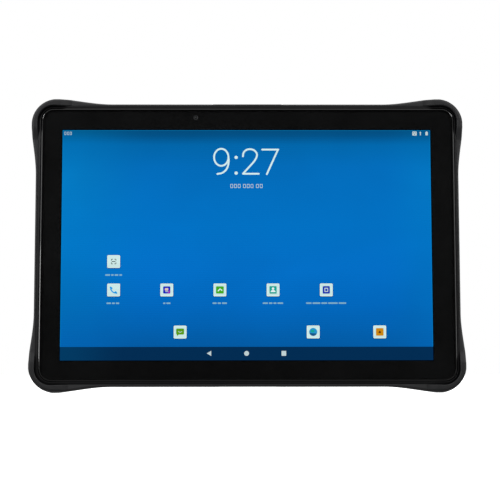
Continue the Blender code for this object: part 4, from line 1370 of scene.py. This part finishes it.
rear_camera.turned(REAR_CAM, [
    (1.62, 5.5), (1.6, 5.95), (1.45, 6.1), (1.1, 6.24), (0.6, 6.33), (0.2, 6.35)], 40, mat=1)
rear_camera.make("rear_camera_unit", BLACK, CAMERA_LENS, slot="black_plastic",
                 replaces="rear_camera_module")

flash_profile = [(2.0, 5.7), (2.0, 7.3), (1.92, 7.42), (1.75, 7.5)]
for j in range(4):                      # concentric steps of the lens
    radius = 1.55 - 0.36 * j
    flash_profile += [(radius, 7.4), (radius - 0.06, 7.52)]
flash_profile.append((0.12, 7.54))
Solid().turned(FLASH, flash_profile, 40).make(
    "flash_diffuser", FLASH_PLASTIC, slot="flash_lens", replaces="flash_lens")

# ======================================================================= speaker grilles
GRILLE_CELLS, GRILLE_PITCH, GRILLE_HOLE_R = 18, 0.93, 0.27
GRILLE_BACK, GRILLE_FRONT = 5.2, 4.9
CELL_CORNERS = ((1, 0), (1, 1), (0, 1), (-1, 1), (-1, 0), (-1, -1), (0, -1), (1, -1))


def add_grille_cell(grid, cx, cz, walls):
    """Square plate with a round hole; walls are the sides of it on the rim of the grille."""
    half = GRILLE_PITCH / 2
    square = [(cx + half * a, cz + half * b) for a, b in CELL_CORNERS]
    hole = circle(GRILLE_HOLE_R, 8, cx, cz)
    outer0, inner0, outer1, inner1 = [
        grid.add_ring([(x, y, z) for x, z in line])
        for y in (GRILLE_BACK, GRILLE_FRONT) for line in (square, hole)]
    for k in range(8):
        q = (k + 1) % 8
        grid.add_face((outer0[k], outer0[q], inner0[q], inner0[k]))
        grid.add_face((outer1[q], outer1[k], inner1[k], inner1[q]))
        grid.add_face((inner0[k], inner0[q], inner1[q], inner1[k]))
        if k in walls:
            grid.add_face((outer0[q], outer0[k], outer1[k], outer1[q]))


def speaker_grille(side, label):
    grid = Solid()
    last = GRILLE_CELLS - 1
    x0 = side * SPEAKER_X - GRILLE_CELLS * GRILLE_PITCH / 2
    z0 = SPEAKER_Z - GRILLE_CELLS * GRILLE_PITCH / 2
    for i in range(GRILLE_CELLS):
        for j in range(GRILLE_CELLS):
            walls = ((0, 7) if i == last else ()) + ((1, 2) if j == last else ())
            walls += ((3, 4) if i == 0 else ()) + ((5, 6) if j == 0 else ())
            add_grille_cell(grid, x0 + (i + 0.5) * GRILLE_PITCH,
                            z0 + (j + 0.5) * GRILLE_PITCH, walls)
    obj = grid.make("speaker_grille_" + label, SCREW, slot="steel",
                    replaces="speaker_mesh_" + label, weighted=False)
    with editing(obj.data) as bm:       # joins neighbouring cells
        bmesh.ops.remove_doubles(bm, verts=bm.verts, dist=1e-6)
        bmesh.ops.recalc_face_normals(bm, faces=bm.faces)


speaker_grille(-1, "left")
speaker_grille(1, "right")

# ======================================================================= scan window, top
SURROUND_WALL = 3.1
SURROUND_SECTION = (                    # way in from the outer outline, z, fillet
    (0.0, 80.95, 0.05), (0.0, 83.31, 0.22), (2.75, 83.31, 0.2), (SURROUND_WALL, 82.9, 0.1),
    (SURROUND_WALL, 80.95, 0.05),
)


def scan_surround():
    rings = []
    for x, y in rounded(20.8, 4.85, 1.2, 10, 0.0, 0.55):
        inner_x, inner_y = onto((x, y), 17.6, 1.9, 0.6, 0.0, SCAN_WINDOW_Y)
        dx, dy = (inner_x - x) / SURROUND_WALL, (inner_y - y) / SURROUND_WALL
        corners = [((x + dx * t, y + dy * t, z), fillet) for t, z, fillet in SURROUND_SECTION]
        # The top surface falls away towards the back.
        rings.append([(a, b, z - (max(0.0, b - 3.4) ** 1.4 * 0.22 if z > 82.0 else 0.0))
                      for a, b, z in bend(corners, 3)])
    Solid().loft(rings, wrap=True).make(
        "scan_window_surround", TRIM, slot="gloss_trim", replaces="scan_window_bezel")


scan_surround()
Solid().prism(rounded(18.9, 2.1, 0.6, 5, 0.0, SCAN_WINDOW_Y), 79.2, 80.5, 0.08, 0.08,
              axis="z").make("scan_window_pane", SMOKE, slot="lens_glass", replaces="scan_window")

# ======================================================================= dock block, bottom
PAD_X = [(k - (DOCK_PADS - 1) / 2) * DOCK_PITCH for k in range(DOCK_PADS)]
PAD_RECESS = [(-81.7, 0.0), (-82.15, 0.0), (-82.3, -0.14), (-84.0, -0.2)]
dock = Solid().prism(rounded(15.0, 2.0, 0.7, 6, 0.0, DOCK_Y), -82.3, -77.8, 0.3, axis="z").make(
    "dock_block", BLACK, slot="black_plastic", replaces="dock_contact_block")
carve(dock, [Solid().stack(rounded(1.05, 1.1, 0.3, 4, x, DOCK_Y), PAD_RECESS, "z")
             for x in PAD_X])
Solid().prism(rounded(16.6, 2.7, 0.7, 5, 0.0, DOCK_Y), -78.7, -77.7, 0.1, 0.1, axis="z").make(
    "dock_flange", BLACK, slot="black_plastic")
gold_pads = Solid()
for x in PAD_X:
    gold_pads.prism(rounded(0.9, 0.95, 0.25, 4, x, DOCK_Y), -81.98, -81.74, 0.1, axis="z")
gold_pads.make("dock_gold_pads", GOLD, slot="steel")

# ======================================================================= keys
NIB_LEVELS = ((123.9, 0.0), (124.72, 0.0), (124.85, 0.05), (124.95, 0.17), (125.0, 0.35))


def keycap(name, cad, flange, proud=0.0, dish=0.0, nibs=()):
    """Key in a side of the guard; flange is its |x| range, proud how far it stands out."""
    z, length, side = KEYS[name]
    top = MID_W + proud
    levels = [(flange[0], 0.0)] + edge_end(top, 0.5, 4)
    if dish:
        levels += [(top, 0.75), (top - dish * 0.6, 1.0), (top - dish, 1.3)]
    face = rounded(2.0, length / 2, 1.9, 10, KEY_Y, z)
    key = Solid().stack(face, [(side * x, inset) for x, inset in levels], "x").make(
        name + "_key", KEY, body=name, slot="key_plastic", replaces=cad)
    low, high = sorted((side * flange[0], side * flange[1]))
    flange_outline = rounded(2.7, length / 2 + 0.7, 0.5, 4, KEY_Y, z)
    added = [Solid().prism(flange_outline, low, high, 0.1, 0.1, axis="x")]
    for dz in nibs:
        added.append(Solid().stack(rounded(1.3, 2.15, 1.25, 8, KEY_Y, z + dz),
                                   [(side * x, inset) for x, inset in NIB_LEVELS], "x"))
    carve(key, added, "UNION")


keycap("power", "power_button", flange=(119.4, 120.1), proud=-0.25, dish=0.12)
keycap("scan", "scan_button", flange=(119.4, 120.1), dish=0.15)
keycap("volume", "volume_rocker", flange=(119.1, 119.75), nibs=(NIB_DZ, -NIB_DZ))

# ======================================================================= port door
door_outline = bend([((122.6, 3.4), 0.0), ((122.6, -2.7), 0.3), ((124.4, -2.7), 0.45),
                     ((124.4, 3.4), 0.0)])
door_outline += [(HINGE_X + 0.98 * math.cos(math.radians(a)),
                  HINGE_Y + 0.98 * math.sin(math.radians(a))) for a in range(-8, 189, 14)]
door = Solid().prism(door_outline, -37.9, -5.1, 0.14, 0.14, axis="z", steps=4).make(
    "port_cover", RUBBER, body="port_door", slot="rubber", replaces="io_door")
front_notch = bend([((123.6, -4.0), 0.0), ((126, -4.0), 0.0), ((126, -1.75), 0.0),
                    ((123.6, -1.75), 0.5)])
carve(door, [pin_hole(), Solid().prism(front_notch, -24.6, -18.4, axis="z")] + [
    Solid().prism(rounded(0.28, 13.0, 0.26, 4, -0.6 + 1.35 * j, DOOR_Z), 124.12, 126, axis="x")
    for j in range(3)])
Solid().sleeve(rounded(2.6, 15.9, 0.8, 8, 0.3, DOOR_Z), (1.8, 15.1, 0.4, 0.3, DOOR_Z),
               back=122.5, front=122.15, fillets=(0.05, 0.12, 0.12, 0.05)).make(
    "port_cover_seal", SEAL, body="port_door", slot="seal_rubber", replaces="io_door_seal")
Solid().prism(circle(0.55, 28, HINGE_X, HINGE_Y), -39.1, -3.9, 0.12, 0.12, axis="z").make(
    "door_pin", STEEL, slot="steel", replaces="io_hinge_pin")


# ======================================================================= sockets behind the door
def usb_outline(half_z, half_y, radius):
    return [(USB_Y + y, USB_Z + z) for z, y in rounded(half_z, half_y, radius, 8)]


usb = Solid().sleeve(usb_outline(4.5, 1.6, 1.5), (1.25, 4.15, 1.2, USB_Y, USB_Z),
                     back=111.5, front=121.7, fillets=(0.05, 0.12, 0.1, 0.02))
usb.prism(usb_outline(4.1, 1.2, 1.15), 111.6, 114.6, axis="x", mat=1)
usb.prism(rounded(0.34, 3.3, 0.1, 3, USB_Y, USB_Z), 114.0, 120.8, 0.0, 0.12, axis="x", mat=1)
for j in range(12):                     # contacts on the tongue
    usb.prism(rounded(0.03, 0.11, 0.02, 2, 0.33, -15.9 + 0.527 * j), 116.5, 120.5,
              axis="x", mat=2)
usb.make("usb_port", STEEL, BLACK, GOLD, slot="steel", replaces="usb_c_socket")

Solid().turned((AUDIO_Y, AUDIO_Z), [
    (1.0, 109.0), (2.2, 109.0), (2.3, 109.1), (2.3, 121.55), (2.2, 121.7), (1.9, 121.7),
    (1.8, 121.6), (1.8, 111.0), (1.0, 111.0)], 40, axis="x", wrap=True).make(
    "headset_port", BLACK, slot="black_plastic", replaces="audio_socket")

card = Solid().sleeve(rounded(0.75, 5.7, 0.15, 3, 0.4, CARD_Z), (0.38, 5.4, 0.08, 0.42, CARD_Z),
                      back=106.5, front=121.6, fillets=(0.05, 0.08, 0.06, 0.02), steps=2)
card.prism(rounded(0.36, 5.35, 0.05, 2, 0.42, CARD_Z), 106.6, 108.4, axis="x", mat=1)
card.make("memory_card_port", SHIELD, BLACK, slot="steel", replaces="card_socket")

# ======================================================================= CAD pieces inside
INSIDE = (
    (SEAL, ("housing_seal",)),
    (ADHESIVE, ("glass_adhesive",)),
    (MAGNESIUM, ("mid_frame",)),
    (BLACK, ("scan_engine", "speaker_left", "speaker_right")),
    (SHIELD, ("shield_can_processor", "shield_can_radio")),
    (WRAP, ("battery_pack",)),
    (CABLE, ("battery_cable",)),
    (FLEX, ("front_camera_flex", "rear_camera_flex", "scan_engine_flex", "display_flex")),
    (STEEL, ("vibration_motor",)),
    (CERAMIC, ("gnss_antenna",)),
    (PCB, ("main_board", "wifi_antenna", "cellular_antenna", "side_key_board",
           "scan_key_board", "io_board")),
)
for material, names in INSIDE:
    for name in names:
        obj = frame["nodes"][name]
        obj.data.materials.clear()
        obj.data.materials.append(material)
        if material in (ADHESIVE, FLEX):
            continue
        obj.modifiers.new("weld", "WELD").merge_threshold = 1e-6
        bevel = obj.modifiers.new("edge", "BEVEL")
        bevel.width, bevel.segments = 0.12 * MM, 2
        bevel.limit_method, bevel.angle_limit = "ANGLE", math.radians(40)
        bevel.harden_normals = False
        weighted_normals(obj)


# ======================================================================= floor (metres from here)
def pale_floor():
    mat = Material("pale_floor")
    return mat.shade({
        "Base Color": mat.mix(mat.mottle(3.0), (0.80, 0.80, 0.80), (0.84, 0.84, 0.84)),
        "Roughness": mat.mottle(30.0, to=(0.85, 0.95)),
        "Specular IOR Level": 0.0,
        "Emission Color": (1.0, 1.0, 1.0),
        "Emission Strength": 0.9,
    })


FLOOR_HALF = 14.0
floor_mesh = bpy.data.meshes.new("studio_floor")
floor_mesh.from_pydata([(sx * FLOOR_HALF, sy * FLOOR_HALF, 0)
                        for sx, sy in ((-1, -1), (1, -1), (1, 1), (-1, 1))], [], [(0, 1, 2, 3)])
floor = link_object("studio_floor", floor_mesh)
floor_mesh.materials.append(pale_floor())
floor.visible_glossy = False
floor.visible_diffuse = False


# ======================================================================= world
def studio_world():
    """White to the camera; to everything else grey, brighter overhead, with a dark card."""
    world = bpy.data.worlds.new("studio")
    bpy.context.scene.world = world
    world.use_nodes = True
    sky = Nodes(world.node_tree, "Generated")
    x, y, z = sky.axes()
    ambient = sky.span(z, over=(-0.4, 0.8), to=(0.27, 0.84), smooth=True)
    card_y, card_z = -0.9945, 0.1045    # direction of the card, in front of the glass
    facing = sky.math("ADD", sky.math("MULTIPLY", y, card_y, None),
                      sky.math("MULTIPLY", z, card_z, None), None)
    card = sky.span(facing, over=(0.961, 0.980), to=(1.0, 0.02), smooth=True)
    level = sky.math("MULTIPLY", ambient, card, None)
    grey = sky.node("ShaderNodeCombineColor", {0: level, 1: level, 2: level}).outputs[0]
    studio = sky.node("ShaderNodeBackground", {"Color": grey}).outputs[0]
    white = sky.node("ShaderNodeBackground", {"Color": (1.0, 1.0, 1.0)}).outputs[0]
    to_camera = sky.node("ShaderNodeLightPath").outputs["Is Camera Ray"]
    mixed = sky.node("ShaderNodeMixShader", {0: to_camera, 1: studio, 2: white}).outputs[0]
    sky.node("ShaderNodeOutputWorld", {0: mixed})


studio_world()

# ======================================================================= lights
BODY_MIDDLE = (0.0, 0.0, 0.09)
SOFTBOXES = (                           # name, place, aim, width, height, radiance
    ("rim_left_low", (-1.335, -0.473, 0.112), (-0.121, -0.0075, 0.10), 0.24, 0.2, 10.0),
    ("rim_left_high", (-1.335, -0.473, 0.325), (-0.121, -0.0075, 0.15), 0.24, 0.2, 2.6),
    ("rim_right", (1.335, -0.473, 0.21), (0.121, -0.0075, 0.10), 0.24, 0.4, 2.0),
    ("spot_upper_left", (-0.969, -0.767, 0.679), (-0.119, -0.007, 0.164), 0.31, 0.31, 22.0),
    ("spot_upper_right", (0.91, -0.74, 0.795), (0.119, -0.007, 0.164), 0.31, 0.31, 22.0),
    ("top_box", (0.0, 0.1, 1.5), BODY_MIDDLE, 1.6, 0.8, 0.4),
    ("back_fill", (0.5, 1.5, 0.7), BODY_MIDDLE, 1.4, 0.8, 2.6),
)
for name, place, aim, width, height, radiance in SOFTBOXES:
    data = bpy.data.lights.new(name, "AREA")
    data.shape, data.size, data.size_y = "RECTANGLE", width, height
    data.energy = radiance * math.pi * width * height
    light = link_object(name, data)
    light.location = place
    light.rotation_mode = "QUATERNION"
    light.rotation_quaternion = (Vector(aim) - Vector(place)).to_track_quat("-Z", "Y")
    light.visible_camera = False
    light.visible_diffuse = not name.startswith("spot")     # the spots only make glints

# ======================================================================= camera
camera_data = bpy.data.cameras.new("photo_camera")
camera = link_object("photo_camera", camera_data)
camera_data.lens, camera_data.sensor_width = 93.6, 36.0
camera_data.clip_start, camera_data.clip_end = 0.01, 60.0
look = Vector((0.00703, 0.99541, 0.09541)).normalized()
right = look.cross(Vector((0.000385, -0.09541, 0.99544))).normalized()
up = right.cross(look).normalized()
pose = Matrix((right, up, -look)).transposed().to_4x4()
pose.translation = Vector((-0.00383, -0.76266, 0.01053))
camera.matrix_world = pose
bpy.context.scene.camera = camera
bpy.context.scene.view_settings.view_transform = "Standard"
